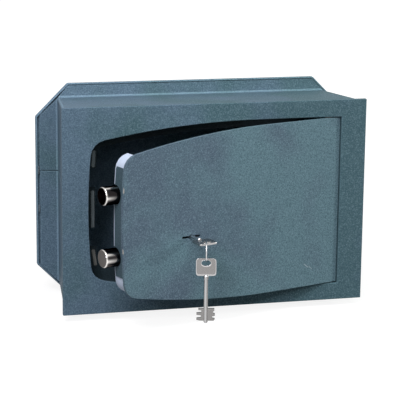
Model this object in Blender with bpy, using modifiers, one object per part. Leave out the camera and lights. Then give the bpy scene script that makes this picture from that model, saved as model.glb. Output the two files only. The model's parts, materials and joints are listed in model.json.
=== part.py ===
"""Wall safe: tapered steel body with anchoring wings, an ajar door on hidden pins,
two round bolts thrown by a lever lock, and two double-bitted keys on a ring.

Metres, +Z up, +X to the right of someone facing the door, +Y into the wall.
The origin is the centre of the back plate's rear face.
"""
import math

import bmesh
import bpy
import numpy as np
from mathutils import Matrix, Vector

# Front plate
plate_width = 0.360
plate_height = 0.241
plate_thickness = 0.005
plate_edge_round = 0.0005

# Gaps and cuts
touch_gap = 0.0003
cut_overrun = 0.004

# Door opening: flat and tall at the hinge side, arched down to the bolt side
border_side = 0.030
border_top = 0.0200
opening_flat_share = 0.64
arch_drop_share = 0.220
side_bulge_share = 0.041
opening_corner_radius = 0.020
tightest_corner_radius = 0.004
arch_steps = 10
corner_steps = 4
side_steps = 4

# Body sheets
sheet_thickness = 0.0025
body_setback = 0.0025
neck_depth = 0.118
neck_taper_side = 0.0120
neck_taper_top = 0.0048
wing_sweep_back = 0.0045
wing_reach_side = 0.0210
wing_reach_top = 0.0138
seam_height_share = 0.104
seam_gap = 0.001
seam_strip_width = 0.024
seam_strip_thickness = 0.002

# Back plate, a tray whose lip stands round the wings
back_thickness = 0.0022
lip_gap_side = 0.0028
lip_gap_top = 0.0004
lip_overhang = 0.0005
tack_length = 0.010
tack_depth = 0.003
tack_drop_share = 0.195

# Stop frame behind the opening
collar_offset = 0.0025
collar_wall = 0.002
collar_rear_band = 0.002
flange_inset = 0.012
flange_thickness = 0.002
frame_end_inset = 0.045

# Door
door_gap = 0.0014
door_width_share = 0.986
hinge_gap = 0.0029
door_thickness = 0.004
door_edge_round = 0.0012
door_depth = 0.024
door_rest_angle = math.radians(18.0)
rim_inset = 0.0018
rim_wall = 0.003
rim_side_inset = 0.0026
rim_wrap = 0.020
rim_height_share = 0.985
strip_above = 0.066
strip_below = 0.0575
strip_thickness = 0.0012
strip_margin = 0.004

# Hinge
hinge_inset = 0.0105
hinge_depth = 0.0085
pin_radius = 0.0024
pin_head_radius = 0.0032
pin_head_height = 0.002
sleeve_length = 0.020
ear_thickness = 0.006
ear_half_width = 0.012
ear_reach = 0.015
ear_clearance = 0.0005

# Round bolts and the bar that carries them
bolt_radius = 0.0105
bolt_height_share = 0.447
bolt_depth = 0.0175
bolt_reach = 0.016
bolt_length = 0.047
bolt_chamfer = 0.0012
bolt_clearance = 0.0004
spigot_radius = 0.005
nut_radius = 0.008
nut_height = 0.005
nut_clearance = 0.001
bar_thickness = 0.005
bar_margin = 0.012
bar_half_depth = 0.010
guide_margin = 0.004
guide_thickness = 0.006
guide_setback = 0.004

# Lock cover on the back of the door
cover_behind_key = 0.003
cover_wall = 0.0015
cover_inset = 0.0155
cover_right_inset = 0.046
cover_screw_radius = 0.0018
cover_screw_head_radius = 0.0035
cover_screw_head_height = 0.0022
post_radius = 0.004
post_inset = 0.014
post_clearance = 0.003

# Lock
key_from_edge = 0.0883
key_drop_share = 0.557
keyhole_half_width = 0.012
keyhole_height = 0.0028
keyhole_centre_radius = 0.003
case_wall = 0.0015
case_left = 0.027
case_right = 0.032
case_above = 0.034
case_below = 0.025
rotor_radius = 0.005
rotor_slot_width = 0.0029
rotor_clearance = 0.0004
rotor_end_band = 0.0016
lever_count = 5
lever_thickness = 0.0015
lever_pitch = 0.0020
lever_half_width = 0.022
lever_above = 0.030
lever_below = 0.022
lever_window_radius = 0.0118
lever_post_radius = 0.002
lever_post_x = 0.015
lever_post_drop = 0.0175
lock_bolt_thickness = 0.003
lever_stack_gap = 0.0006
lock_bolt_above = 0.0245
lock_bolt_below = 0.0145
lock_bolt_nose = 0.0145
stump_radius = 0.0025
stump_height = 0.0185

# Key
key_shaft_radius = 0.0023
key_shaft_length = 0.0543
key_bow_width = 0.0226
key_bow_length = 0.020
key_bow_thickness = 0.0022
key_edge_round = 0.0005
key_hole_half_width = 0.0052
key_hole_half_length = 0.0033
key_hole_from_end = 0.0052
key_bit_half_width = 0.0103
key_bit_length = 0.0144
key_bit_thickness = 0.0023
key_tip_length = 0.0028
key_inside = 0.0368

# Key ring
ring_radius = 0.0105
ring_wire_radius = 0.00075
ring_shift = 0.0033
ring_yaw = math.radians(14.2)
ring_slack = 0.00035

# Finishes: colour, roughness, metallic
hammered_paint = ("hammered_paint", (0.105, 0.160, 0.195), 0.42, 0.25)
dark_paint = ("dark_paint", (0.060, 0.090, 0.110), 0.50, 0.20)
white_enamel = ("white_enamel", (0.80, 0.84, 0.88), 0.35, 0.0)
bright_chrome = ("bright_chrome", (0.72, 0.70, 0.69), 0.12, 1.0)
bare_steel = ("bare_steel", (0.46, 0.47, 0.48), 0.38, 1.0)
zinc_plate = ("zinc_plate", (0.60, 0.61, 0.62), 0.34, 1.0)
key_nickel = ("key_nickel", (0.62, 0.60, 0.57), 0.28, 1.0)
lever_brass = ("lever_brass", (0.70, 0.52, 0.24), 0.32, 1.0)
weld_metal = ("weld_metal", (0.13, 0.16, 0.18), 0.60, 0.40)

# Places that follow from the sizes above
opening_half_width = plate_width / 2 - border_side
opening_half_height = plate_height / 2 - border_top
arch_run = opening_half_width * (2 - opening_flat_share)
arch_drop = opening_half_height * arch_drop_share
opening_top_radius = (arch_run ** 2 + arch_drop ** 2) / (2 * arch_drop)
left_half_height = opening_half_height - arch_drop
side_bulge = opening_half_height * side_bulge_share
opening_left_radius = (left_half_height ** 2 + side_bulge ** 2) / (2 * side_bulge)
seam_height = plate_height * seam_height_share
tack_drop = plate_height * tack_drop_share
bolt_height = left_half_height * bolt_height_share
safe_depth = neck_depth + wing_sweep_back + sheet_thickness + touch_gap + back_thickness
door_right = opening_half_width - hinge_gap
hinge_x = door_right - hinge_inset
door_left = door_right - (door_right + opening_half_width - door_gap) * door_width_share
key_x = door_left + key_from_edge
key_z = -bolt_height * key_drop_share
bolt_tip_x = door_left - bolt_reach
bolt_shoulder_x = bolt_tip_x + bolt_length
bar_x = bolt_shoulder_x + touch_gap
key_outside_length = key_shaft_length - key_inside
case_depth = key_inside - key_tip_length + rotor_end_band
cover_depth = key_inside + cover_behind_key
lever_stack = 2 * touch_gap + (lever_count - 1) * lever_pitch + lever_thickness + lever_stack_gap
lock_bolt_depth = case_depth - case_wall - lever_stack - lock_bolt_thickness
neck_half_width = plate_width / 2 - body_setback - neck_taper_side
neck_half_height = plate_height / 2 - body_setback - neck_taper_top
wall_slope = neck_taper_side / (neck_depth - plate_thickness)
wall_front_depth = plate_thickness + touch_gap + sheet_thickness * wall_slope
wing_half_width = neck_half_width + wing_reach_side
wing_half_height = neck_half_height + wing_reach_top
ring_rise = key_bow_thickness / 2 + ring_wire_radius + ring_slack


def at_depth(depth):
    """Y of a plane that lies this far behind the front plate's face."""
    return depth - safe_depth


# Scene

def clear_scene():
    for item in list(bpy.data.objects):
        bpy.data.objects.remove(item, do_unlink=True)


def new_collection(name):
    group = bpy.data.collections.new(name)
    bpy.context.scene.collection.children.link(group)
    return group


clear_scene()
parts = new_collection("wall_safe")
cutters = new_collection("cutters")


def finish(recipe, node_name):
    """A material of this finish for one piece."""
    kind, colour, roughness, metallic = recipe
    material = bpy.data.materials.new(kind + "_" + node_name)
    material.use_nodes = True
    shader = material.node_tree.nodes["Principled BSDF"]
    shader.inputs["Base Color"].default_value = (*colour, 1.0)
    shader.inputs["Roughness"].default_value = roughness
    shader.inputs["Metallic"].default_value = metallic
    return material


def piece(name, mesh, recipe, location=(0, 0, 0)):
    item = bpy.data.objects.new(name, mesh)
    item.location = location
    if not mesh.materials:
        mesh.materials.append(finish(recipe, name))
    parts.objects.link(item)
    return item


def cutter(name, mesh, location=(0, 0, 0)):
    item = bpy.data.objects.new(name, mesh)
    item.location = location
    item.hide_render = True
    item.display_type = "WIRE"
    cutters.objects.link(item)
    return item


def empty(name, location):
    item = bpy.data.objects.new(name, None)
    item.location = location
    parts.objects.link(item)
    return item


# Shapes

def mesh_from(bm, name):
    mesh = bpy.data.meshes.new(name)
    bm.to_mesh(mesh)
    bm.free()
    return mesh


def box_mesh(name, size):
    bm = bmesh.new()
    bmesh.ops.create_cube(bm, size=1.0)
    bmesh.ops.scale(bm, vec=size, verts=bm.verts)
    return mesh_from(bm, name)


def box_between(name, low, high):
    """A box mesh and its centre, from its lowest and highest corners."""
    low = Vector(low)
    high = Vector(high)
    return box_mesh(name, high - low), (low + high) / 2


def rod_mesh(name, radius, length, direction, sides=24):
    """A closed cylinder, centred, lying along a direction."""
    bm = bmesh.new()
    bmesh.ops.create_cone(bm, cap_ends=True, segments=sides, radius1=radius, radius2=radius, depth=length)
    turn = Vector((0, 0, 1)).rotation_difference(Vector(direction)).to_matrix()
    bmesh.ops.rotate(bm, matrix=turn, verts=bm.verts)
    return mesh_from(bm, name)


def shade_round(item, angle=math.radians(35)):
    item.data.shade_smooth()
    item.data.set_sharp_from_angle(angle=angle)


def flat_mesh(name, thickness, outlines):
    """A plate of this thickness in the XZ plane, from its outline and the outlines of its holes."""
    curve = bpy.data.curves.new(name, "CURVE")
    curve.dimensions = "2D"
    curve.fill_mode = "BOTH"
    curve.extrude = thickness / 2
    for outline in outlines:
        spline = curve.splines.new("POLY")
        spline.points.add(len(outline) - 1)
        spline.use_cyclic_u = True
        for point, (x, z) in zip(spline.points, outline):
            point.co = (x, z, 0, 1)
    drawn = bpy.data.objects.new(name + "_drawn", curve)
    cutters.objects.link(drawn)
    bpy.context.view_layer.update()
    evaluated = drawn.evaluated_get(bpy.context.evaluated_depsgraph_get())
    mesh = bpy.data.meshes.new_from_object(evaluated)
    bpy.data.objects.remove(drawn, do_unlink=True)
    bm = bmesh.new()
    bm.from_mesh(mesh)
    bmesh.ops.remove_doubles(bm, verts=bm.verts, dist=touch_gap / 10)
    bmesh.ops.rotate(bm, matrix=Matrix.Rotation(math.pi / 2, 3, "X"), verts=bm.verts)
    bm.to_mesh(mesh)
    bm.free()
    mesh.name = name
    return mesh


def tray_mesh(name, outline, rear, front):
    """An open tray in the XZ plane, its floor at the rear, ready for Solidify."""
    bm = bmesh.new()
    rear_ring = [bm.verts.new((x, rear, z)) for x, z in outline]
    front_ring = [bm.verts.new((x, front, z)) for x, z in outline]
    bm.faces.new(rear_ring)
    for index in range(len(outline)):
        after = (index + 1) % len(outline)
        bm.faces.new((rear_ring[index], rear_ring[after], front_ring[after], front_ring[index]))
    bmesh.ops.recalc_face_normals(bm, faces=bm.faces)
    bm.faces.ensure_lookup_table()
    if bm.faces[0].normal.y < 0:
        bmesh.ops.reverse_faces(bm, faces=bm.faces)
    return mesh_from(bm, name)


def add_wall(item, wall):
    shell = item.modifiers.new("wall", "SOLIDIFY")
    shell.thickness = wall
    shell.offset = -1
    shell.use_even_offset = True


def add_bevel(item, width, segments=2, angle=math.radians(50)):
    rounded = item.modifiers.new("rounded_edges", "BEVEL")
    rounded.width = width
    rounded.segments = segments
    rounded.limit_method = "ANGLE"
    rounded.angle_limit = angle


def add_boolean(item, other, operation="DIFFERENCE"):
    change = item.modifiers.new(operation.lower(), "BOOLEAN")
    change.operation = operation
    change.object = other


def turned_mesh(name, profile):
    """The edge chain of a turned piece: radius and height, top to bottom."""
    bm = bmesh.new()
    points = [bm.verts.new((radius, 0, height)) for radius, height in profile]
    for upper, lower in zip(points, points[1:]):
        bm.edges.new((upper, lower))
    return mesh_from(bm, name)


def add_screw(item, steps=24):
    screw = item.modifiers.new("turned", "SCREW")
    screw.steps = steps
    screw.render_steps = steps
    screw.use_merge_vertices = True
    screw.merge_threshold = touch_gap / 10


def apply_modifiers(item):
    """Replace the mesh by its evaluated shape, for a mesh that several pieces share."""
    bpy.context.view_layer.update()
    evaluated = item.evaluated_get(bpy.context.evaluated_depsgraph_get())
    mesh = bpy.data.meshes.new_from_object(evaluated)
    item.modifiers.clear()
    item.data = mesh
    return mesh


# Outlines in the XZ plane

def arc(centre, radius, start, end, steps):
    angles = np.linspace(start, end, steps + 1)
    return [(centre[0] + radius * math.cos(a), centre[1] + radius * math.sin(a)) for a in angles]


def circles_meet(first, first_radius, second, second_radius):
    """The left one of the two points where two circles cross."""
    first = np.array(first)
    second = np.array(second)
    span = np.linalg.norm(second - first)
    along = (first_radius ** 2 - second_radius ** 2 + span ** 2) / (2 * span)
    across = math.sqrt(max(first_radius ** 2 - along ** 2, 0))
    unit = (second - first) / span
    normal = np.array((-unit[1], unit[0]))
    meetings = [first + unit * along + normal * across, first + unit * along - normal * across]
    return min(meetings, key=lambda point: point[0])


def opening_outline(inset, right):
    """The opening's outline moved inwards by the inset, with its right edge where told.

    A flat top runs into a long arch, a small corner arc and a slightly bulged left side.
    The three arcs are tangent, and the lower half mirrors the upper one.
    """
    top_radius = opening_top_radius - inset
    left_radius = opening_left_radius - inset
    corner_radius = max(opening_corner_radius - inset, tightest_corner_radius)
    top_centre = (arch_run - opening_half_width, opening_half_height - opening_top_radius)
    left_centre = (opening_left_radius - opening_half_width, 0)
    corner = circles_meet(top_centre, top_radius - corner_radius, left_centre, left_radius - corner_radius)
    top_end = math.atan2(corner[1] - top_centre[1], corner[0] - top_centre[0])
    left_start = math.atan2(corner[1] - left_centre[1], corner[0] - left_centre[0])
    arch = arc(top_centre, top_radius, math.pi / 2, top_end, arch_steps)
    turn = arc(corner, corner_radius, top_end, left_start, corner_steps)
    side = arc(left_centre, left_radius, left_start, math.pi, side_steps)
    upper = arch[:-1] + turn[:-1] + side
    top_z = opening_half_height - inset
    if right < top_centre[0]:
        drop = math.sqrt(top_radius ** 2 - (right - top_centre[0]) ** 2)
        top_z = top_centre[1] + drop
        upper = [point for point in upper if point[0] < right - touch_gap]
    lower = [(x, -z) for x, z in reversed(upper[:-1])]
    return [(right, -top_z), (right, top_z)] + upper + lower


def arch_height(x):
    """Half height of the opening at a place along its arch."""
    run = max(arch_run - opening_half_width - x, 0)
    return opening_half_height - opening_top_radius + math.sqrt(opening_top_radius ** 2 - run ** 2)


def octagon(half_width, half_height, half_top, half_side):
    """A rectangle with clipped corners."""
    quarter = [(half_width, half_side), (half_top, half_height)]
    upper = quarter + [(-x, z) for x, z in reversed(quarter)]
    return upper + [(x, -z) for x, z in reversed(upper)]


def rectangle(half_width, half_height):
    return [(half_width, -half_height), (half_width, half_height),
            (-half_width, half_height), (-half_width, -half_height)]


def circle(centre, radius, steps=24):
    return arc(centre, radius, 0, 2 * math.pi, steps)[:-1]


# Placing on the door

door_pivot = empty("door_pivot", (hinge_x, at_depth(hinge_depth), 0))
door_closed_inverse = Matrix.Translation(-Vector(door_pivot.location))


def on_door(item):
    """Carry a piece that is placed as if the door were closed."""
    item.parent = door_pivot
    item.matrix_parent_inverse = door_closed_inverse
    return item


def door_point(x, depth, z):
    """World place of a point of the closed door, once the door stands ajar."""
    pivot = Vector((hinge_x, at_depth(hinge_depth), 0))
    swing = Matrix.Rotation(door_rest_angle, 3, "Z")
    return pivot + swing @ (Vector((x, at_depth(depth), z)) - pivot)


# Body

def make_front_plate():
    outlines = [rectangle(plate_width / 2, plate_height / 2), opening_outline(0, opening_half_width)]
    mesh = flat_mesh("front_plate", plate_thickness, outlines)
    item = piece("front_plate", mesh, hammered_paint, (0, at_depth(plate_thickness / 2), 0))
    add_bevel(item, plate_edge_round, 1)
    return item


def make_body_shell(name, side):
    """One bent sheet of the body: tapered walls and the wings at their rear.

    side is 1 for the sheet above the seam and -1 for the one below it.
    """
    bm = bmesh.new()
    corners = [(1, -1), (1, 1), (-1, 1), (-1, -1)]
    front_half = (plate_width / 2 - body_setback, plate_height / 2 - body_setback)
    front_y = at_depth(wall_front_depth)
    neck_y = at_depth(neck_depth)
    wing_y = at_depth(neck_depth + wing_sweep_back)
    front = [bm.verts.new((sx * front_half[0], front_y, sz * front_half[1])) for sx, sz in corners]
    neck = [bm.verts.new((sx * neck_half_width, neck_y, sz * neck_half_height)) for sx, sz in corners]
    side_end = neck_half_height - wing_reach_side
    top_end = neck_half_width - wing_reach_top
    side_wing = [bm.verts.new((sx * wing_half_width, wing_y, sz * side_end)) for sx, sz in corners]
    top_wing = [bm.verts.new((sx * top_end, wing_y, sz * wing_half_height)) for sx, sz in corners]
    for index in range(4):
        after = (index + 1) % 4
        bm.faces.new((front[index], front[after], neck[after], neck[index]))
        wing = side_wing if index % 2 == 0 else top_wing
        bm.faces.new((neck[index], neck[after], wing[after], wing[index]))
    bmesh.ops.recalc_face_normals(bm, faces=bm.faces)
    bm.faces.ensure_lookup_table()
    if bm.faces[0].normal.x < 0:
        bmesh.ops.reverse_faces(bm, faces=bm.faces)
    cut_z = seam_height + side * seam_gap / 2
    geometry = bm.verts[:] + bm.edges[:] + bm.faces[:]
    bmesh.ops.bisect_plane(bm, geom=geometry, plane_co=(0, 0, cut_z), plane_no=(0, 0, -side),
                           clear_outer=True)
    item = piece(name, mesh_from(bm, name), hammered_paint)
    add_wall(item, sheet_thickness)
    return item


def wall_inside(depth):
    """Half width between the side walls at a depth."""
    share = (depth - wall_front_depth) / (neck_depth - wall_front_depth)
    return plate_width / 2 - body_setback - sheet_thickness - neck_taper_side * share


def make_seam_strip(name, side):
    """Backing strip that joins the two sheets inside one side wall."""
    bm = bmesh.new()
    start = wall_front_depth + touch_gap
    end = neck_depth - wing_sweep_back
    for depth in (start, end):
        outer = wall_inside(depth) - touch_gap
        for inset in (0, seam_strip_thickness):
            for rise in (-seam_strip_width / 2, seam_strip_width / 2):
                bm.verts.new((side * (outer - inset), at_depth(depth), seam_height + rise))
    bmesh.ops.convex_hull(bm, input=bm.verts)
    bmesh.ops.recalc_face_normals(bm, faces=bm.faces)
    return piece(name, mesh_from(bm, name), dark_paint)


def back_outline(outset):
    """The wings' clipped outline, grown by the lip gaps and an outset."""
    half_width = wing_half_width + lip_gap_side + outset
    half_height = wing_half_height + lip_gap_top + outset
    slant = neck_half_width + neck_half_height + (lip_gap_top + outset) * math.sqrt(2)
    return octagon(half_width, half_height, slant - half_height, slant - half_width)


def make_back_plate():
    lip_front = at_depth(neck_depth + wing_sweep_back - lip_overhang)
    mesh = tray_mesh("back_plate", back_outline(back_thickness), 0, lip_front)
    item = piece("back_plate", mesh, hammered_paint)
    add_wall(item, back_thickness)
    return item


def make_weld_tacks():
    """Short weld beads between the wings' side edges and the lip."""
    width = lip_gap_side - 2 * touch_gap
    tack_x = wing_half_width + lip_gap_side / 2
    tack_y = at_depth(neck_depth + wing_sweep_back + tack_depth / 2)
    mesh = box_mesh("weld_tack", (width, tack_depth, tack_length))
    for side, name in ((1, "right"), (-1, "left")):
        for height, level in ((seam_height, "upper"), (seam_height - tack_drop, "lower")):
            place = (side * tack_x, tack_y, height)
            tack = piece("weld_tack_" + name + "_" + level, mesh, weld_metal, place)
            add_bevel(tack, width / 4, 1)


def make_stop_frame():
    """Collar round the opening with an inward flange, cut away for the bolts and the hinge."""
    collar_front = plate_thickness + touch_gap
    flange_front = door_depth + touch_gap
    collar_rear = bolt_depth + bolt_radius + bolt_clearance * 2 + collar_rear_band
    outer = collar_offset + collar_wall
    right = opening_half_width + collar_offset
    outlines = [opening_outline(-outer, right + collar_wall),
                opening_outline(flange_inset, opening_half_width - flange_inset)]
    length = collar_rear - collar_front
    mesh = flat_mesh("stop_frame", length, outlines)
    item = piece("stop_frame", mesh, hammered_paint, (0, at_depth(collar_front + length / 2), 0))
    spans = ((collar_front - cut_overrun, flange_front, "front"),
             (flange_front + flange_thickness, collar_rear + cut_overrun, "rear"))
    for start, end, name in spans:
        room = flat_mesh("collar_room_" + name, end - start, [opening_outline(-collar_offset, right)])
        add_boolean(item, cutter("collar_room_" + name, room, (0, at_depth((start + end) / 2), 0)))
    frame_right = opening_half_width - frame_end_inset
    high = opening_half_height + outer + cut_overrun
    mesh, centre = box_between("hinge_side_cut", (frame_right, at_depth(0), -high),
                               (plate_width / 2, at_depth(collar_rear + cut_overrun), high))
    add_boolean(item, cutter("hinge_side_cut", mesh, centre))
    half = bolt_radius + 2 * bolt_clearance
    for side, name in ((1, "upper"), (-1, "lower")):
        low_corner = (-opening_half_width - outer - cut_overrun, at_depth(0), side * bolt_height - half)
        high_corner = (-opening_half_width + flange_inset + cut_overrun,
                       at_depth(collar_rear - collar_rear_band), side * bolt_height + half)
        mesh, centre = box_between("bolt_notch_" + name, low_corner, high_corner)
        add_boolean(item, cutter("bolt_notch_" + name, mesh, centre))
    return item


def make_hinge_body_side(name, side):
    """An ear behind the plate and the pin that stands in it."""
    ear_low = opening_half_height + ear_clearance
    ear_z = side * (ear_low + ear_thickness / 2)
    ear_front = plate_thickness + touch_gap
    ear_rear = hinge_depth + ear_reach
    mesh = box_mesh("hinge_ear_" + name, (2 * ear_half_width, ear_rear - ear_front, ear_thickness))
    place = (hinge_x, at_depth((ear_front + ear_rear) / 2), ear_z)
    ear = piece("hinge_ear_" + name, mesh, dark_paint, place)
    add_bevel(ear, ear_thickness / 6, 1)
    hole = rod_mesh("ear_hole_" + name, pin_radius + touch_gap, ear_thickness + 2 * cut_overrun, (0, 0, 1))
    add_boolean(ear, cutter("ear_hole_" + name, hole, (hinge_x, at_depth(hinge_depth), ear_z)))
    head_low = ear_low + ear_thickness + touch_gap
    foot = sleeve_top() - sleeve_length + touch_gap
    head_top = head_low + pin_head_height
    profile = [(0, head_top), (pin_head_radius, head_top), (pin_head_radius, head_low),
               (pin_radius, head_low), (pin_radius, foot), (0, foot)]
    pin = piece("hinge_pin_" + name, turned_mesh("hinge_pin_" + name, profile), bare_steel,
                (hinge_x, at_depth(hinge_depth), 0))
    if side < 0:
        pin.rotation_euler = (math.pi, 0, 0)
    add_screw(pin, 20)
    shade_round(pin)


# Door

def door_outline(inset, right):
    """The opening's outline moved inwards and drawn a little narrower towards the hinge edge."""
    stretched = door_right - (door_right - right) / door_width_share
    outline = opening_outline(door_gap + inset, stretched)
    return [(door_right - (door_right - x) * door_width_share, z) for x, z in outline]


def rim_outline(inset):
    """The rim's outline: the door's, a little lower and straight along the bolt side."""
    side = door_left + rim_side_inset + inset
    outline = door_outline(rim_inset + inset, door_right - inset)
    return [(max(x, side), z * rim_height_share) for x, z in outline]


def sleeve_top():
    """Height of the hinge sleeve's end, level with the door's edge."""
    return opening_half_height - door_gap


def make_door_plate():
    mesh = flat_mesh("door_plate", door_thickness, [door_outline(0, door_right)])
    item = piece("door_plate", mesh, hammered_paint, (0, at_depth(door_thickness / 2), 0))
    length = door_thickness + 2 * cut_overrun
    slot = box_mesh("keyhole_slot", (2 * keyhole_half_width, length, keyhole_height))
    centre = rod_mesh("keyhole_centre", keyhole_centre_radius, length, (0, 1, 0))
    place = (key_x, at_depth(door_thickness / 2), key_z)
    add_boolean(item, on_door(cutter("keyhole_slot", slot, place)))
    add_boolean(item, on_door(cutter("keyhole_centre", centre, place)))
    add_bevel(item, door_edge_round, 2)
    return on_door(item)


def add_bolt_notches(item, tail):
    """Notches for the two bolts in the rim or its strip, open to the rear."""
    left = door_left - cut_overrun
    right = door_left + rim_side_inset + rim_wall + cut_overrun
    half = bolt_radius + bolt_clearance
    rear = at_depth(bolt_depth + bolt_radius + cut_overrun)
    for side, name in ((1, "upper"), (-1, "lower")):
        middle = side * bolt_height
        bore = rod_mesh(tail + "_bore_" + name, half, right - left, (1, 0, 0), 32)
        place = ((left + right) / 2, at_depth(bolt_depth), middle)
        add_boolean(item, on_door(cutter(tail + "_bore_" + name, bore, place)))
        mesh, centre = box_between(tail + "_mouth_" + name, (left, at_depth(bolt_depth), middle - half),
                                   (right, rear, middle + half))
        add_boolean(item, on_door(cutter(tail + "_mouth_" + name, mesh, centre)))


def make_door_rim():
    """White band round the door's bolt side, just past both of its corners."""
    start = door_thickness + touch_gap
    length = door_depth - start
    outlines = [rim_outline(0), rim_outline(rim_wall)]
    mesh = flat_mesh("door_rim", length, outlines)
    item = piece("door_rim", mesh, white_enamel, (0, at_depth(start + length / 2), 0))
    reach = opening_half_height + cut_overrun
    mesh, centre = box_between("rim_end", (door_left + rim_wrap, at_depth(0), -reach),
                               (plate_width / 2, at_depth(door_depth + cut_overrun), reach))
    add_boolean(item, on_door(cutter("rim_end", mesh, centre)))
    add_bolt_notches(item, "rim")
    return on_door(item)


def make_bolt_strip():
    """Strip along the rim's bolt side, cut from a ring that follows the rim."""
    start = door_thickness + touch_gap
    length = door_depth - strip_margin - start
    outlines = [rim_outline(-touch_gap - strip_thickness), rim_outline(-touch_gap)]
    mesh = flat_mesh("bolt_strip", length, outlines)
    item = piece("bolt_strip", mesh, dark_paint, (0, at_depth(start + length / 2), 0))
    reach = opening_half_height + cut_overrun
    rear = at_depth(door_depth + cut_overrun)
    for low, high, name in ((strip_above, reach, "upper"), (-reach, -strip_below, "lower")):
        mesh, centre = box_between("strip_end_" + name, (door_left - cut_overrun, at_depth(0), low),
                                   (plate_width / 2, rear, high))
        add_boolean(item, on_door(cutter("strip_end_" + name, mesh, centre)))
    mesh, centre = box_between("strip_right", (0, at_depth(0), -reach), (plate_width / 2, rear, reach))
    add_boolean(item, on_door(cutter("strip_right", mesh, centre)))
    add_bolt_notches(item, "strip")
    return on_door(item)


def make_hinge_sleeve(name, side):
    radius = hinge_depth - door_thickness - touch_gap
    z = side * (sleeve_top() - sleeve_length / 2)
    mesh = rod_mesh("hinge_sleeve_" + name, radius, sleeve_length, (0, 0, 1))
    item = piece("hinge_sleeve_" + name, mesh, bare_steel, (hinge_x, at_depth(hinge_depth), z))
    bore_length = sleeve_length + 2 * cut_overrun
    bore = rod_mesh("sleeve_bore_" + name, pin_radius + touch_gap, bore_length, (0, 0, 1))
    add_boolean(item, on_door(cutter("sleeve_bore_" + name, bore, (hinge_x, at_depth(hinge_depth), z))))
    shade_round(item)
    return on_door(item)


def cover_right():
    return door_right - cover_right_inset


def make_lock_cover():
    """Deep tray over the lock work, seated on the door plate."""
    front = at_depth(door_thickness + touch_gap)
    outline = door_outline(cover_inset, cover_right())
    mesh = tray_mesh("lock_cover", outline, at_depth(cover_depth), front)
    item = piece("lock_cover", mesh, zinc_plate)
    add_wall(item, cover_wall)
    bore_length = 4 * cover_wall + cut_overrun
    for side, name in ((1, "upper"), (-1, "lower")):
        bore = rod_mesh("cover_bore_" + name, bolt_radius + bolt_clearance, bore_length, (1, 0, 0), 32)
        place = (door_left + cover_inset + cover_wall, at_depth(bolt_depth), side * bolt_height)
        add_boolean(item, on_door(cutter("cover_bore_" + name, bore, place)))
    hole_length = cover_wall + 2 * cut_overrun
    for index, (x, z) in enumerate(post_places()):
        hole = rod_mesh("cover_hole", cover_screw_radius + touch_gap, hole_length, (0, 1, 0), 16)
        add_boolean(item, on_door(cutter("cover_hole_%d" % index, hole, (x, at_depth(cover_depth), z))))
    return on_door(item)


def post_places():
    """Four posts near the cover's corners."""
    left = door_left + cover_inset + post_inset + 2 * guide_thickness
    right = cover_right() - post_inset
    margin = door_gap + cover_inset + cover_wall + post_radius + post_clearance
    return [(x, side * (arch_height(x) - margin)) for x in (left, right) for side in (1, -1)]


def make_cover_fixings():
    """Posts that carry the cover, and the screws that hold it on them."""
    front = door_thickness + touch_gap
    rear = cover_depth - cover_wall - touch_gap
    screw_length = rear - front - cover_screw_head_height
    head = cover_wall + 2 * touch_gap
    post_mesh = rod_mesh("cover_post", post_radius, rear - front, (0, 1, 0), 20)
    bore_length = screw_length + touch_gap + cut_overrun
    head_top = head + cover_screw_head_height
    profile = [(0, head_top), (cover_screw_head_radius, head_top), (cover_screw_head_radius, head),
               (cover_screw_radius, head), (cover_screw_radius, -screw_length), (0, -screw_length)]
    screw_mesh = turned_mesh("cover_screw", profile)
    for name, (x, z) in zip(("1", "2", "3", "4"), post_places()):
        post = piece("cover_post_" + name, post_mesh, bare_steel, (x, at_depth((front + rear) / 2), z))
        bore = rod_mesh("post_bore_" + name, cover_screw_radius + touch_gap, bore_length, (0, 1, 0), 16)
        bore_place = (x, at_depth(rear + cut_overrun - bore_length / 2), z)
        add_boolean(post, on_door(cutter("post_bore_" + name, bore, bore_place)))
        on_door(post)
        screw = piece("cover_screw_" + name, screw_mesh, zinc_plate, (x, at_depth(rear), z))
        screw.rotation_euler = (-math.pi / 2, 0, 0)
        add_screw(screw, 16)
        shade_round(screw)
        on_door(screw)


# Bolt work

def make_bolt(name, side):
    """A round bolt with a chamfered nose, and a spigot that passes through the bar."""
    spigot = bar_thickness + 2 * touch_gap + nut_height
    nose = bolt_radius - bolt_chamfer
    profile = [(0, bolt_length), (nose, bolt_length), (bolt_radius, bolt_length - bolt_chamfer),
               (bolt_radius, 0), (spigot_radius, 0), (spigot_radius, -spigot), (0, -spigot)]
    mesh = turned_mesh(name, profile)
    item = piece(name, mesh, bright_chrome, (bolt_shoulder_x, at_depth(bolt_depth), side * bolt_height))
    item.rotation_euler = (0, -math.pi / 2, 0)
    add_screw(item, 32)
    shade_round(item)
    return on_door(item)


def make_bolt_bar():
    """Upright bar that carries both bolts."""
    half_height = bolt_height + bar_margin
    mesh = box_mesh("bolt_bar", (bar_thickness, 2 * bar_half_depth, 2 * half_height))
    item = piece("bolt_bar", mesh, bare_steel, (bar_x + bar_thickness / 2, at_depth(bolt_depth), 0))
    hole_length = bar_thickness + 2 * cut_overrun
    for side, name in ((1, "upper"), (-1, "lower")):
        hole = rod_mesh("bar_hole_" + name, spigot_radius + touch_gap, hole_length, (1, 0, 0))
        place = (bar_x + bar_thickness / 2, at_depth(bolt_depth), side * bolt_height)
        add_boolean(item, on_door(cutter("bar_hole_" + name, hole, place)))
    add_bevel(item, bar_thickness / 8, 1)
    return on_door(item)


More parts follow.
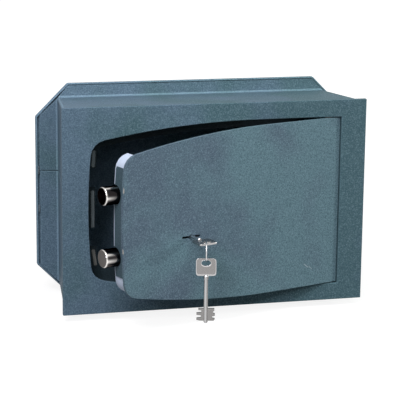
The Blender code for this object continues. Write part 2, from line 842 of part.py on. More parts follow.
def make_bolt_nut(name, side):
    """Hexagon nut that holds a bolt's spigot on the bar."""
    place = (bar_x + bar_thickness + touch_gap + nut_height / 2, at_depth(bolt_depth), side * bolt_height)
    mesh = rod_mesh("bolt_nut_" + name, nut_radius, nut_height, (1, 0, 0), 6)
    item = piece("bolt_nut_" + name, mesh, zinc_plate, place)
    hole = rod_mesh("nut_hole_" + name, spigot_radius + touch_gap, nut_height + 2 * cut_overrun, (1, 0, 0))
    add_boolean(item, on_door(cutter("nut_hole_" + name, hole, place)))
    return on_door(item)


def make_bolt_guide(name, side):
    """Block behind the door plate in which a bolt slides."""
    left = door_left + cover_inset + cover_wall + guide_setback
    front = door_thickness + touch_gap
    rear = bolt_depth + bolt_radius + guide_margin
    half = bolt_radius + guide_margin
    mesh, centre = box_between("bolt_guide_" + name, (left, at_depth(front), side * bolt_height - half),
                               (left + guide_thickness, at_depth(rear), side * bolt_height + half))
    item = piece("bolt_guide_" + name, mesh, bare_steel, centre)
    bore = rod_mesh("guide_bore_" + name, bolt_radius + bolt_clearance, guide_thickness + 2 * cut_overrun,
                    (1, 0, 0), 32)
    place = (centre[0], at_depth(bolt_depth), side * bolt_height)
    add_boolean(item, on_door(cutter("guide_bore_" + name, bore, place)))
    return on_door(item)


def make_lock_bolt():
    """Flat bolt of the lock, welded to the bar, with a window for the key and a stump."""
    left = bar_x + bar_thickness + touch_gap
    right = key_x + lock_bolt_nose
    window = lever_window_radius
    low = key_z - lock_bolt_below
    high = key_z + lock_bolt_above
    tail_low = nut_radius + nut_clearance - bolt_height
    tail_end = left + nut_height + nut_clearance
    outline = [(right, low), (right, high), (left, high), (left, tail_low),
               (tail_end, tail_low), (tail_end, low)]
    slot = arc((key_x, key_z), window, -math.pi / 2, math.pi / 2, 12)
    slot += arc((key_x - bolt_reach, key_z), window, math.pi / 2, 3 * math.pi / 2, 12)
    mesh = flat_mesh("lock_bolt", lock_bolt_thickness, [outline, slot])
    item = piece("lock_bolt", mesh, bare_steel, (0, at_depth(lock_bolt_depth + lock_bolt_thickness / 2), 0))
    stump_rear = lever_depth(lever_count - 1) + lever_thickness + touch_gap
    stump_length = stump_rear - lock_bolt_depth - lock_bolt_thickness / 2
    stump = rod_mesh("stump", stump_radius, stump_length, (0, 1, 0), 16)
    place = (key_x - bolt_reach / 2, at_depth(stump_rear - stump_length / 2), key_z + stump_height)
    add_boolean(item, on_door(cutter("stump", stump, place)), "UNION")
    return on_door(item)


# Lock

def lever_depth(index):
    """Depth of the front of one lever, counted from the lock bolt rearwards."""
    return lock_bolt_depth + lock_bolt_thickness + 2 * touch_gap + index * lever_pitch


def case_box():
    """Left, right, low and high of the lock case's outside."""
    return (key_x - case_left - case_wall, key_x + case_right + case_wall,
            key_z - case_below - case_wall, key_z + case_above + case_wall)


def make_lock_case():
    left, right, low, high = case_box()
    front = at_depth(door_thickness + touch_gap)
    outline = [(right, low), (right, high), (left, high), (left, low)]
    mesh = tray_mesh("lock_case", outline, at_depth(case_depth), front)
    item = piece("lock_case", mesh, zinc_plate)
    add_wall(item, case_wall)
    mesh, centre = box_between("lock_bolt_mouth",
                               (left - cut_overrun, at_depth(lock_bolt_depth - touch_gap),
                                key_z - lock_bolt_below - touch_gap),
                               (left + case_wall + cut_overrun,
                                at_depth(lock_bolt_depth + lock_bolt_thickness + touch_gap),
                                key_z + lock_bolt_above + touch_gap))
    add_boolean(item, on_door(cutter("lock_bolt_mouth", mesh, centre)))
    hole = rod_mesh("rotor_hole", rotor_radius + rotor_clearance, case_wall + 2 * cut_overrun, (0, 1, 0))
    add_boolean(item, on_door(cutter("rotor_hole", hole, (key_x, at_depth(case_depth), key_z))))
    return on_door(item)


def make_lever(index):
    """A lever plate: a round window for the bits, a gate for the stump, slots for the posts."""
    low = key_z - lever_below
    high = key_z + lever_above
    outline = [(key_x + lever_half_width, low), (key_x + lever_half_width, high),
               (key_x - lever_half_width, high), (key_x - lever_half_width, low)]
    window = circle((key_x, key_z), lever_window_radius)
    gate_half = stump_radius + 2 * touch_gap
    gate_z = key_z + stump_height
    gate = arc((key_x + bolt_reach / 2, gate_z), gate_half, -math.pi / 2, math.pi / 2, 6)
    gate += arc((key_x - bolt_reach / 2, gate_z), gate_half, math.pi / 2, 3 * math.pi / 2, 6)
    holes = [window, gate]
    slot_half = lever_post_radius + touch_gap
    for x in (key_x - lever_post_x, key_x + lever_post_x):
        foot = key_z - lever_post_drop - slot_half / 2
        slot = arc((x, foot + slot_half), slot_half, 0, math.pi, 6)
        slot += arc((x, foot), slot_half, math.pi, 2 * math.pi, 6)
        holes.append(slot)
    name = "lever_%d" % (index + 1)
    mesh = flat_mesh(name, lever_thickness, [outline] + holes)
    item = piece(name, mesh, lever_brass, (0, at_depth(lever_depth(index) + lever_thickness / 2), 0))
    return on_door(item)


def make_lever_post(name, side):
    """Post between the door plate and the back of the lock case, on which the levers slide."""
    front = door_thickness + touch_gap
    rear = case_depth - case_wall - touch_gap
    mesh = rod_mesh("lever_post_" + name, lever_post_radius, rear - front, (0, 1, 0), 16)
    place = (key_x + side * lever_post_x, at_depth((front + rear) / 2), key_z - lever_post_drop)
    return on_door(piece("lever_post_" + name, mesh, bare_steel, place))


def make_key_rotor():
    """Slotted tube that the key slides into and turns, closed by a ring at its rear end."""
    front = door_thickness + touch_gap
    rear = case_depth - touch_gap
    length = rear - front
    place = (key_x, at_depth(front + length / 2), key_z)
    mesh = rod_mesh("key_rotor", rotor_radius, length, (0, 1, 0), 24)
    item = piece("key_rotor", mesh, lever_brass, place)
    bore_length = length + 2 * cut_overrun
    bore = rod_mesh("rotor_bore", key_shaft_radius + rotor_clearance, bore_length, (0, 1, 0))
    add_boolean(item, on_door(cutter("rotor_bore", bore, place)))
    slot_rear = key_shaft_length - key_outside_length - key_tip_length + touch_gap
    slot_front = front - cut_overrun
    slot = box_mesh("rotor_slot", (4 * rotor_radius, slot_rear - slot_front, rotor_slot_width))
    middle = (key_x, at_depth((slot_front + slot_rear) / 2), key_z)
    add_boolean(item, on_door(cutter("rotor_slot", slot, middle)))
    shade_round(item)
    return on_door(item)


# Keys

def key_bow_outline():
    """Bow seen flat: a barrel shape, drawn in shares of its width and length."""
    right_shares = [(0.14, 0.0), (0.40, 0.05), (0.50, 0.17), (0.49, 0.86), (0.42, 0.955), (0.20, 0.99)]
    right = [(x * key_bow_width, z * key_bow_length) for x, z in right_shares]
    return right + [(0, key_bow_length)] + [(-x, z) for x, z in reversed(right)]


def key_bit_outline():
    """Both bits seen flat, drawn in shares of half their width and of their length."""
    right_shares = [(0.86, 0.0), (0.98, 0.12), (0.98, 0.20), (0.70, 0.24), (0.70, 0.34), (1.0, 0.40),
                    (1.0, 0.58), (0.78, 0.64), (0.78, 0.72), (0.94, 0.80), (0.94, 1.0)]
    left_shares = [(-0.80, 1.0), (-0.80, 0.84), (-0.48, 0.82), (-0.48, 0.68), (-1.0, 0.64), (-1.0, 0.46),
                   (-0.52, 0.42), (-0.52, 0.28), (-1.0, 0.22), (-1.0, 0.05), (-0.60, 0.0)]
    low = key_tip_length - key_shaft_length
    return [(x * key_bit_half_width, low + z * key_bit_length) for x, z in right_shares + left_shares]


def make_key_mesh():
    """One key, bow up, in its own XZ plane; its origin is where the shaft meets the bow."""
    hole_z = key_bow_length - key_hole_from_end
    hole = [(key_hole_half_width * math.cos(a), hole_z + key_hole_half_length * math.sin(a))
            for a in np.linspace(0, 2 * math.pi, 21)[:-1]]
    bow = cutter("key_blank", flat_mesh("key_bow", key_bow_thickness, [key_bow_outline(), hole]))
    add_bevel(bow, key_edge_round, 1)
    sunk = key_bow_length / 10
    rod = rod_mesh("key_shaft", key_shaft_radius, key_shaft_length + sunk, (0, 0, 1), 20)
    shaft = cutter("key_shaft", rod, (0, 0, (sunk - key_shaft_length) / 2))
    add_bevel(shaft, key_shaft_radius / 4, 1)
    bits = cutter("key_bits", flat_mesh("key_bits", key_bit_thickness, [key_bit_outline()]))
    add_boolean(bow, shaft, "UNION")
    add_boolean(bow, bits, "UNION")
    mesh = apply_modifiers(bow)
    mesh.name = "double_bit_key"
    mesh.materials.clear()
    mesh.materials.append(finish(key_nickel, "keys"))
    for item in (bow, shaft, bits):
        bpy.data.objects.remove(item, do_unlink=True)
    return mesh


def make_keys():
    """The key in the lock, the ring through its bow, and the spare key that hangs from the ring."""
    mesh = make_key_mesh()
    key = piece("key", mesh, key_nickel, (key_x, at_depth(-key_outside_length), key_z))
    key.rotation_euler = (math.pi / 2, 0, 0)
    on_door(key)
    hole_end = key_bow_length - key_hole_from_end + key_hole_half_length
    bar_out = key_outside_length + (hole_end + key_bow_length) / 2
    hang = door_point(key_x - ring_shift, -bar_out, key_z)
    ring_pivot = empty("ring_pivot", hang)
    ring_pivot.rotation_euler = (0, 0, -ring_yaw)
    bpy.ops.mesh.primitive_torus_add(major_radius=ring_radius, minor_radius=ring_wire_radius,
                                     major_segments=32, minor_segments=8)
    made = bpy.context.active_object
    ring = piece("key_ring", made.data, key_nickel, (0, 0, ring_rise - ring_radius))
    bpy.data.objects.remove(made, do_unlink=True)
    ring.rotation_euler = (0, math.pi / 2, 0)
    ring.parent = ring_pivot
    shade_round(ring)
    spare_pivot = empty("spare_pivot", hang + Vector((0, 0, ring_rise - 2 * ring_radius)))
    spare_pivot.rotation_euler = (0, 0, -ring_yaw)
    spare = piece("spare_key", mesh, key_nickel, (0, 0, ring_wire_radius + ring_slack - hole_end))
    spare.parent = spare_pivot


def build():
    make_front_plate()
    make_body_shell("body_upper_shell", 1)
    make_body_shell("body_lower_shell", -1)
    make_seam_strip("seam_strip_right", 1)
    make_seam_strip("seam_strip_left", -1)
    make_back_plate()
    make_weld_tacks()
    make_stop_frame()
    for name, side in (("upper", 1), ("lower", -1)):
        make_hinge_body_side(name, side)
        make_hinge_sleeve(name, side)
        make_bolt_guide(name, side)
        make_bolt("bolt_" + name, side)
        make_bolt_nut(name, side)
    make_door_plate()
    make_door_rim()
    make_bolt_strip()
    make_lock_cover()
    make_cover_fixings()
    make_bolt_bar()
    make_lock_bolt()
    make_lock_case()
    for index in range(lever_count):
        make_lever(index)
    make_lever_post("right", 1)
    make_lever_post("left", -1)
    make_key_rotor()
    make_keys()
    door_pivot.rotation_euler = (0, 0, door_rest_angle)
    bpy.context.view_layer.update()


build()
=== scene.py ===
import json
import math

import bmesh
import bpy
import numpy as np
from mathutils import Matrix, Vector

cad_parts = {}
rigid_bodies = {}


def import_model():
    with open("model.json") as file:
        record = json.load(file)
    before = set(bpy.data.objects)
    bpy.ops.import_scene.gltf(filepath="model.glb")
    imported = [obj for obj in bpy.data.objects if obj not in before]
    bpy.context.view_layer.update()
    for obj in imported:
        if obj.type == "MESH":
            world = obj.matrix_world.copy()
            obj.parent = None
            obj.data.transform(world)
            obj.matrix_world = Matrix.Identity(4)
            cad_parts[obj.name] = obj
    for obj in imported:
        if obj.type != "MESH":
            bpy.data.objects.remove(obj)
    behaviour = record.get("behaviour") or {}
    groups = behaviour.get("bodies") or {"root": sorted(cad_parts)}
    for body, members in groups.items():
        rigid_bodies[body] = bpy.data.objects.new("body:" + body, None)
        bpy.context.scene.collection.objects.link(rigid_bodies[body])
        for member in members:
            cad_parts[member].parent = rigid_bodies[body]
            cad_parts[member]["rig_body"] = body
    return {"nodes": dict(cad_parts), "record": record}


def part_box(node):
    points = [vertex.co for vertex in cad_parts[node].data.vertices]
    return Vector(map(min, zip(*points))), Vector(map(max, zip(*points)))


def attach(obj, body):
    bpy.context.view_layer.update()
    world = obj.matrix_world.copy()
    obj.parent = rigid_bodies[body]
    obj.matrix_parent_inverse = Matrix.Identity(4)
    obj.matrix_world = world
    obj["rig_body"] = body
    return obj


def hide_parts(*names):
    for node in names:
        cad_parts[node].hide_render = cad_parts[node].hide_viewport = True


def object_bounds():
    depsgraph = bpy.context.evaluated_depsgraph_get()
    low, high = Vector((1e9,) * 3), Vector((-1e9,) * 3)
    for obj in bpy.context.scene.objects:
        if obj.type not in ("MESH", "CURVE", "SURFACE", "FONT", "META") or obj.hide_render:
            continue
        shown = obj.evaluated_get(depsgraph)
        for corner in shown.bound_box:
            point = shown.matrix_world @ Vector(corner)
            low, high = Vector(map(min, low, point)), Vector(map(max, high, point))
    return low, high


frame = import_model()
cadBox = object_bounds()
nodes = frame["nodes"]
print("frame loaded:", len(nodes), "CAD nodes")


# Camera, at the photograph's viewing angle
cameraSet = {
    "place": (-0.46763, -1.89571, 0.42351),
    "yaw": 0.2481,
    "pitch": 0.22368,
    "roll": 0.01034,
    "lens": 146.036,
    "sensorWidth": 36,
    "farthest": 50,
}


def makeCamera():
    yaw, pitch, roll = cameraSet["yaw"], cameraSet["pitch"], cameraSet["roll"]
    ahead = Vector((math.sin(yaw) * math.cos(pitch), math.cos(yaw) * math.cos(pitch), -math.sin(pitch)))
    right = Vector((math.cos(yaw), -math.sin(yaw), 0))
    up = right.cross(ahead)
    turnedRight = right * math.cos(roll) + up * math.sin(roll)
    turnedUp = up * math.cos(roll) - right * math.sin(roll)
    data = bpy.data.cameras.new("camera")
    data.lens = cameraSet["lens"]
    data.sensor_width = cameraSet["sensorWidth"]
    data.clip_end = cameraSet["farthest"]
    camera = bpy.data.objects.new("camera", data)
    bpy.context.scene.collection.objects.link(camera)
    camera.matrix_world = Matrix((
        (turnedRight.x, turnedUp.x, -ahead.x, cameraSet["place"][0]),
        (turnedRight.y, turnedUp.y, -ahead.y, cameraSet["place"][1]),
        (turnedRight.z, turnedUp.z, -ahead.z, cameraSet["place"][2]),
        (0, 0, 0, 1)))
    bpy.context.scene.camera = camera


makeCamera()
print("camera placed")


# Short ways to add shader nodes

def setOrLink(tree, value, socket):
    # A number or a colour is set on the socket, anything else is linked to it
    if isinstance(value, (int, float, tuple)):
        socket.default_value = value
    else:
        tree.links.new(value, socket)


def mathNode(tree, operation, *values):
    node = tree.nodes.new("ShaderNodeMath")
    node.operation = operation
    for value, socket in zip(values, node.inputs):
        setOrLink(tree, value, socket)
    return node.outputs[0]


def vectorNode(tree, operation, *values):
    node = tree.nodes.new("ShaderNodeVectorMath")
    node.operation = operation
    for value, socket in zip(values, node.inputs):
        tree.links.new(value, socket)
    return node.outputs["Value" if operation in ("DOT_PRODUCT", "DISTANCE", "LENGTH") else "Vector"]


def mixColor(tree, factor, first, second):
    node = tree.nodes.new("ShaderNodeMix")
    node.data_type = "RGBA"
    # The colour sockets of this node are its seventh and eighth
    for slot, value in ((0, factor), (6, first), (7, second)):
        setOrLink(tree, value, node.inputs[slot])
    return node.outputs[2]


def ramp(tree, value, low, high, bottom=0.0, top=1.0):
    # From bottom below low to top above high
    node = tree.nodes.new("ShaderNodeMapRange")
    node.inputs["From Min"].default_value = low
    node.inputs["From Max"].default_value = high
    node.inputs["To Min"].default_value = bottom
    node.inputs["To Max"].default_value = top
    tree.links.new(value, node.inputs["Value"])
    return node.outputs["Result"]


def noise(tree, place, scale, detail, rough):
    node = tree.nodes.new("ShaderNodeTexNoise")
    node.inputs["Detail"].default_value = detail
    node.inputs["Roughness"].default_value = rough
    tree.links.new(place, node.inputs["Vector"])
    setOrLink(tree, scale, node.inputs["Scale"])
    return node.outputs["Fac"]


def objectPlace(tree):
    return tree.nodes.new("ShaderNodeTexCoord").outputs["Object"]


def seenRay(tree):
    # 1 for rays that show the background: from the camera, in gloss or through glass
    path = tree.nodes.new("ShaderNodeLightPath").outputs
    shown = mathNode(tree, "MAXIMUM", path["Is Camera Ray"], path["Is Glossy Ray"])
    return mathNode(tree, "MAXIMUM", shown, path["Is Transmission Ray"])


# Softboxes: place, width and depth in metres, watts and tint; all aim at one point of the safe
white = (1.0, 1.0, 1.0)
studio = {
    "softboxes": {
        "top": {"place": (0.0, -0.45, 1.75), "size": (1.2, 0.7), "watts": 12, "tint": white},
        "topLeft": {"place": (-0.82, -1.40, 1.34), "size": (0.6, 0.5), "watts": 22, "tint": (1.0, 0.985, 1.03)},
        "topFront": {"place": (0.0, -1.2, 1.6), "size": (1.0, 0.7), "watts": 6, "tint": white},
        "front": {"place": (-0.1, -2.0, 0.9), "size": (1.0, 0.6), "watts": 3, "tint": white},
        "leftMid": {"place": (-1.2, -1.65, 0.74), "size": (0.3, 0.3), "watts": 6, "tint": (1.0, 0.985, 1.04)},
        "rightMid": {"place": (1.85, -0.75, 0.72), "size": (0.25, 0.25), "watts": 13, "tint": (0.97, 1.02, 0.97)},
    },
    "aim": (0, -0.06, 0),
    "backdropLight": 0.0,
}
# The floor is pale by its own glow, which grows away from the safe; its grey keeps the safe's shadow
floorSet = {"below": 0.0002, "reach": 6.0, "grey": 0.26, "glowNear": 0.88, "glowFar": 1.05,
            "glowStart": 0.35, "glowEnd": 1.1}


def makeLights():
    for name, given in studio["softboxes"].items():
        lamp = bpy.data.lights.new(name + "Softbox", "AREA")
        lamp.shape = "RECTANGLE"
        lamp.size, lamp.size_y = given["size"]
        lamp.energy = given["watts"]
        lamp.color = given["tint"]
        box = bpy.data.objects.new(name + "Softbox", lamp)
        box.location = given["place"]
        toSafe = Vector(studio["aim"]) - Vector(given["place"])
        box.rotation_euler = toSafe.to_track_quat("-Z", "Y").to_euler()
        bpy.context.scene.collection.objects.link(box)


def makeWorld():
    # White where it is seen, and no light of its own elsewhere
    world = bpy.data.worlds.new("studioWorld")
    bpy.context.scene.world = world
    world.use_nodes = True
    tree = world.node_tree
    tree.nodes.clear()
    mix = tree.nodes.new("ShaderNodeMixShader")
    tree.links.new(seenRay(tree), mix.inputs[0])
    for slot, strength in ((1, studio["backdropLight"]), (2, 1.0)):
        backdrop = tree.nodes.new("ShaderNodeBackground")
        backdrop.inputs["Color"].default_value = white + (1,)
        backdrop.inputs["Strength"].default_value = strength
        tree.links.new(backdrop.outputs[0], mix.inputs[slot])
    out = tree.nodes.new("ShaderNodeOutputWorld")
    tree.links.new(mix.outputs[0], out.inputs["Surface"])


def makeFloor():
    low, reach = cadBox[0][2] - floorSet["below"], floorSet["reach"]
    corners = [(-reach, -reach, low), (reach, -reach, low), (reach, reach, low), (-reach, reach, low)]
    mesh = bpy.data.meshes.new("floor")
    mesh.from_pydata(corners, [], [(0, 1, 2, 3)])
    floor = bpy.data.objects.new("floor", mesh)
    bpy.context.scene.collection.objects.link(floor)
    material = bpy.data.materials.new("paleFloor")
    material.use_nodes = True
    tree = material.node_tree
    tree.nodes.clear()
    pale = tree.nodes.new("ShaderNodeBsdfDiffuse")
    pale.inputs["Color"].default_value = (floorSet["grey"],) * 3 + (1,)
    glow = tree.nodes.new("ShaderNodeEmission")
    glow.inputs["Color"].default_value = white + (1,)
    away = vectorNode(tree, "LENGTH", objectPlace(tree))
    spread = ramp(tree, away, floorSet["glowStart"], floorSet["glowEnd"], floorSet["glowNear"], floorSet["glowFar"])
    tree.links.new(mathNode(tree, "MULTIPLY", seenRay(tree), spread), glow.inputs["Strength"])
    both = tree.nodes.new("ShaderNodeAddShader")
    tree.links.new(pale.outputs[0], both.inputs[0])
    tree.links.new(glow.outputs[0], both.inputs[1])
    out = tree.nodes.new("ShaderNodeOutputMaterial")
    tree.links.new(both.outputs[0], out.inputs["Surface"])
    mesh.materials.append(material)


makeLights()
makeWorld()
makeFloor()
bpy.context.scene.view_settings.view_transform = "Standard"
print("studio ready")


# Node groups that several finishes use

def newGroup(name, inputs, outputs):
    # Each input's kind follows from its default: one number, a place of three, a colour of four
    kinds = {1: "NodeSocketFloat", 3: "NodeSocketVector", 4: "NodeSocketColor"}
    group = bpy.data.node_groups.new(name, "ShaderNodeTree")
    for label, value in inputs.items():
        size = len(value) if isinstance(value, tuple) else 1
        socket = group.interface.new_socket(label, in_out="INPUT", socket_type=kinds[size])
        socket.default_value = value
    for label in outputs:
        kind = "NodeSocketColor" if label == "Color" else "NodeSocketFloat"
        group.interface.new_socket(label, in_out="OUTPUT", socket_type=kind)
    return group, group.nodes.new("NodeGroupInput").outputs, group.nodes.new("NodeGroupOutput").inputs


# Noises are (scale, detail, roughness), grain and fine with their scale as a share of the cells'; slopes are
# (low, high)
hammerSet = {"cellSmoothness": 0.5, "grain": (0.9, 3.0, 0.62), "fine": (2.4, 2.0, 0.5), "slow": (15.0, 2.0, 0.5),
             "speck": (0.51, 0.68), "deep": (0.49, 0.33), "leanPerMetre": 1.0, "drift": (0.36, 0.62),
             "roughness": (0.20, 0.45), "domeHeight": 0.8, "grainHeight": 0.8, "fineHeight": 0.25}


def hammerGroup():
    # A finely hammered coat: small rounded cells and specks, each a shade lighter or darker, that drifts
    # slowly towards a second colour as random tone, and more and more from left to right as painted light and shade
    group, given, leave = newGroup(
        "hammeredCoat",
        {"Base": (0.1, 0.15, 0.18, 1), "Light Speck": (0.2, 0.3, 0.35, 1), "Deep Speck": (0.05, 0.09, 0.12, 1),
         "Drift": (0.1, 0.15, 0.18, 1), "Cell Size": 0.0024, "Mottle": 0.5, "Drift Share": 0.5},
        ["Color", "Roughness", "Height"])
    place = objectPlace(group)
    scale = mathNode(group, "DIVIDE", 1.0, given["Cell Size"])
    cells = group.nodes.new("ShaderNodeTexVoronoi")
    cells.feature = "SMOOTH_F1"
    cells.inputs["Smoothness"].default_value = hammerSet["cellSmoothness"]
    group.links.new(place, cells.inputs["Vector"])
    group.links.new(scale, cells.inputs["Scale"])
    grain, fine = (noise(group, place, mathNode(group, "MULTIPLY", scale, share), detail, rough)
                   for share, detail, rough in (hammerSet["grain"], hammerSet["fine"]))
    slow = noise(group, place, *hammerSet["slow"])
    side = group.nodes.new("ShaderNodeSeparateXYZ")
    group.links.new(place, side.inputs[0])
    # Painted light and shade: the second colour gains from left to right across the safe
    toneAndSide = mathNode(group, "MULTIPLY_ADD", side.outputs["X"], hammerSet["leanPerMetre"], slow)
    toneAndLight = mathNode(group, "MULTIPLY", ramp(group, toneAndSide, *hammerSet["drift"]), given["Drift Share"])
    color = mixColor(group, toneAndLight, given["Base"], given["Drift"])
    for slope, label in (("speck", "Light Speck"), ("deep", "Deep Speck")):
        share = mathNode(group, "MULTIPLY", ramp(group, grain, *hammerSet[slope]), given["Mottle"])
        color = mixColor(group, share, color, given[label])
    group.links.new(color, leave["Color"])
    group.links.new(mathNode(group, "MULTIPLY_ADD", fine, *hammerSet["roughness"]), leave["Roughness"])
    dome = mathNode(group, "MULTIPLY_ADD", cells.outputs["Distance"], -hammerSet["domeHeight"],
                    hammerSet["domeHeight"])
    height = mathNode(group, "MULTIPLY_ADD", grain, hammerSet["grainHeight"], dome)
    group.links.new(mathNode(group, "MULTIPLY_ADD", fine, hammerSet["fineHeight"], height), leave["Height"])
    return group


# Lines take their scale from the finish, so theirs are (detail, roughness)
handledSet = {"lines": (3.0, 0.6), "smear": (60.0, 3.0, 0.5), "pits": (420.0, 2.0, 0.5), "pitSlope": (0.60, 0.74),
              "pitShare": 0.35, "smearSlope": (0.42, 0.68), "smearShare": 0.6, "patches": (0.5, 0.75),
              "roughShare": 0.5}


def handledGroup():
    # Metal that has been handled: fine lines along one way, faint smears, tiny pits, and a lighter
    # colour, part polish and part painted highlight and reflection, where the piece's own attribute says so
    group, given, leave = newGroup(
        "handledMetal",
        {"Base": (0.6, 0.6, 0.6, 1), "Tarnish": (0.4, 0.38, 0.35, 1), "Polish": (0.75, 0.75, 0.75, 1),
         "Line Size": 0.0006, "Stretch": 12.0, "Rough Low": 0.12, "Rough High": 0.3},
        ["Color", "Roughness", "Height"])
    place = objectPlace(group)
    pull = group.nodes.new("ShaderNodeCombineXYZ")
    for value, socket in zip((mathNode(group, "DIVIDE", 1.0, given["Stretch"]), 1.0, 1.0), pull.inputs):
        setOrLink(group, value, socket)
    drawn = vectorNode(group, "MULTIPLY", place, pull.outputs[0])
    lines = noise(group, drawn, mathNode(group, "DIVIDE", 1.0, given["Line Size"]), *handledSet["lines"])
    smear = noise(group, place, *handledSet["smear"])
    pits = ramp(group, noise(group, place, *handledSet["pits"]), *handledSet["pitSlope"])
    worn = mathNode(group, "MULTIPLY", ramp(group, smear, *handledSet["smearSlope"]), handledSet["smearShare"])
    color = mixColor(group, worn, given["Base"], given["Tarnish"])
    color = mixColor(group, mathNode(group, "MULTIPLY", pits, handledSet["pitShare"]), color, given["Tarnish"])
    rubbed = group.nodes.new("ShaderNodeAttribute")
    rubbed.attribute_name = "rubbed"
    patches = mathNode(group, "MULTIPLY_ADD", smear, *handledSet["patches"])
    color = mixColor(group, mathNode(group, "MULTIPLY", rubbed.outputs["Fac"], patches), color, given["Polish"])
    group.links.new(color, leave["Color"])
    spread = mathNode(group, "SUBTRACT", given["Rough High"], given["Rough Low"])
    share = handledSet["roughShare"]
    amount = mathNode(group, "MULTIPLY_ADD", lines, share, mathNode(group, "MULTIPLY", smear, 1 - share))
    group.links.new(mathNode(group, "MULTIPLY_ADD", spread, amount, given["Rough Low"]), leave["Roughness"])
    group.links.new(lines, leave["Height"])
    return group


markSet = {"fray": (900.0, 2.0, 0.5), "frayShare": (0.9, 0.5), "edge": (1.1, 0.7)}


def markGroup():
    # One mark on the paint: near the straight line from Start to End, with a frayed edge
    group, given, leave = newGroup(
        "paintMark", {"Start": (0, 0, 0), "End": (0, 0, 0.01), "Width": 0.001}, ["Mask"])
    place = objectPlace(group)
    reach = vectorNode(group, "SUBTRACT", given["End"], given["Start"])
    come = vectorNode(group, "SUBTRACT", place, given["Start"])
    share = mathNode(group, "DIVIDE", vectorNode(group, "DOT_PRODUCT", come, reach),
                     vectorNode(group, "DOT_PRODUCT", reach, reach))
    nearest = group.nodes.new("ShaderNodeVectorMath")
    nearest.operation = "SCALE"
    group.links.new(reach, nearest.inputs[0])
    group.links.new(ramp(group, share, 0.0, 1.0), nearest.inputs["Scale"])
    away = vectorNode(group, "DISTANCE", come, nearest.outputs["Vector"])
    fray = mathNode(group, "MULTIPLY_ADD", noise(group, place, *markSet["fray"]), *markSet["frayShare"])
    near = mathNode(group, "DIVIDE", away, mathNode(group, "MULTIPLY", given["Width"], fray))
    group.links.new(ramp(group, near, *markSet["edge"]), leave["Mask"])
    return group


groups = {"hammer": hammerGroup(), "handled": handledGroup(), "mark": markGroup()}


def makeFinish(name, groupName, values, fixed, bump):
    # Values go to the group, fixed values to the shader; bump is its strength and distance
    material = bpy.data.materials.new(name)
    material.use_nodes = True
    tree = material.node_tree
    shader = tree.nodes["Principled BSDF"]
    coat = tree.nodes.new("ShaderNodeGroup")
    coat.node_tree = groups[groupName]
    for label, value in values.items():
        coat.inputs[label].default_value = value
    for label, value in fixed.items():
        shader.inputs[label].default_value = value
    tree.links.new(coat.outputs["Color"], shader.inputs["Base Color"])
    tree.links.new(coat.outputs["Roughness"], shader.inputs["Roughness"])
    relief = tree.nodes.new("ShaderNodeBump")
    for label, value in zip(("Strength", "Distance"), bump):
        relief.inputs[label].default_value = value
    tree.links.new(coat.outputs["Height"], relief.inputs["Height"])
    tree.links.new(relief.outputs["Normal"], shader.inputs["Normal"])
    return material


# The drift colour is partly random tone and partly painted light: the outer paint's darker drift is painted shade
# towards the right, the door's lighter drift a painted highlight towards the right
paintSet = {
    "hammeredPaint": {
        "Base": (0.103, 0.161, 0.220, 1), "Drift": (0.066, 0.128, 0.144, 1), "Light Speck": (0.175, 0.268, 0.325, 1),
        "Deep Speck": (0.042, 0.084, 0.114, 1), "Cell Size": 0.0013, "Mottle": 0.70, "Drift Share": 0.9},
    # Painted highlight: the lighter paint that the folds and cut rims of the body take
    "foldPaint": {
        "Base": (0.175, 0.265, 0.350, 1), "Drift": (0.140, 0.250, 0.280, 1), "Light Speck": (0.260, 0.380, 0.450, 1),
        "Deep Speck": (0.090, 0.150, 0.195, 1), "Cell Size": 0.0013, "Mottle": 0.6, "Drift Share": 0.9},
    # The door's paint: the outer paint made lighter, painted light on the door
    "doorPaint": {
        "Base": (0.103, 0.148, 0.196, 1), "Drift": (0.132, 0.225, 0.262, 1), "Light Speck": (0.205, 0.310, 0.365, 1),
        "Deep Speck": (0.050, 0.094, 0.124, 1), "Cell Size": 0.0013, "Mottle": 0.72, "Drift Share": 0.95},
    "stripPaint": {
        "Base": (0.060, 0.098, 0.122, 1), "Drift": (0.056, 0.102, 0.118, 1), "Light Speck": (0.100, 0.150, 0.180, 1),
        "Deep Speck": (0.030, 0.056, 0.074, 1), "Cell Size": 0.0013, "Mottle": 0.6, "Drift Share": 0.75},
    # The stop frame's paint, darkened as painted shade inside the opening
    "framePaint": {
        "Base": (0.018, 0.030, 0.037, 1), "Drift": (0.022, 0.028, 0.031, 1), "Light Speck": (0.030, 0.044, 0.052, 1),
        "Deep Speck": (0.010, 0.018, 0.023, 1), "Cell Size": 0.0016, "Mottle": 0.6, "Drift Share": 0.6},
    "darkPaint": {
        "Base": (0.020, 0.034, 0.044, 1), "Drift": (0.022, 0.034, 0.040, 1), "Light Speck": (0.034, 0.052, 0.064, 1),
        "Deep Speck": (0.011, 0.021, 0.029, 1), "Cell Size": 0.0022, "Mottle": 0.5, "Drift Share": 0.5},
    "whiteEnamel": {
        "Base": (0.60, 0.69, 0.84, 1), "Drift": (0.64, 0.71, 0.82, 1), "Light Speck": (0.68, 0.76, 0.88, 1),
        "Deep Speck": (0.54, 0.63, 0.79, 1), "Cell Size": 0.0040, "Mottle": 0.25, "Drift Share": 0.3},
    "weldMetal": {
        "Base": (0.14, 0.18, 0.21, 1), "Drift": (0.16, 0.18, 0.19, 1), "Light Speck": (0.24, 0.28, 0.31, 1),
        "Deep Speck": (0.07, 0.10, 0.12, 1), "Cell Size": 0.0012, "Mottle": 0.8, "Drift Share": 0.5},
}
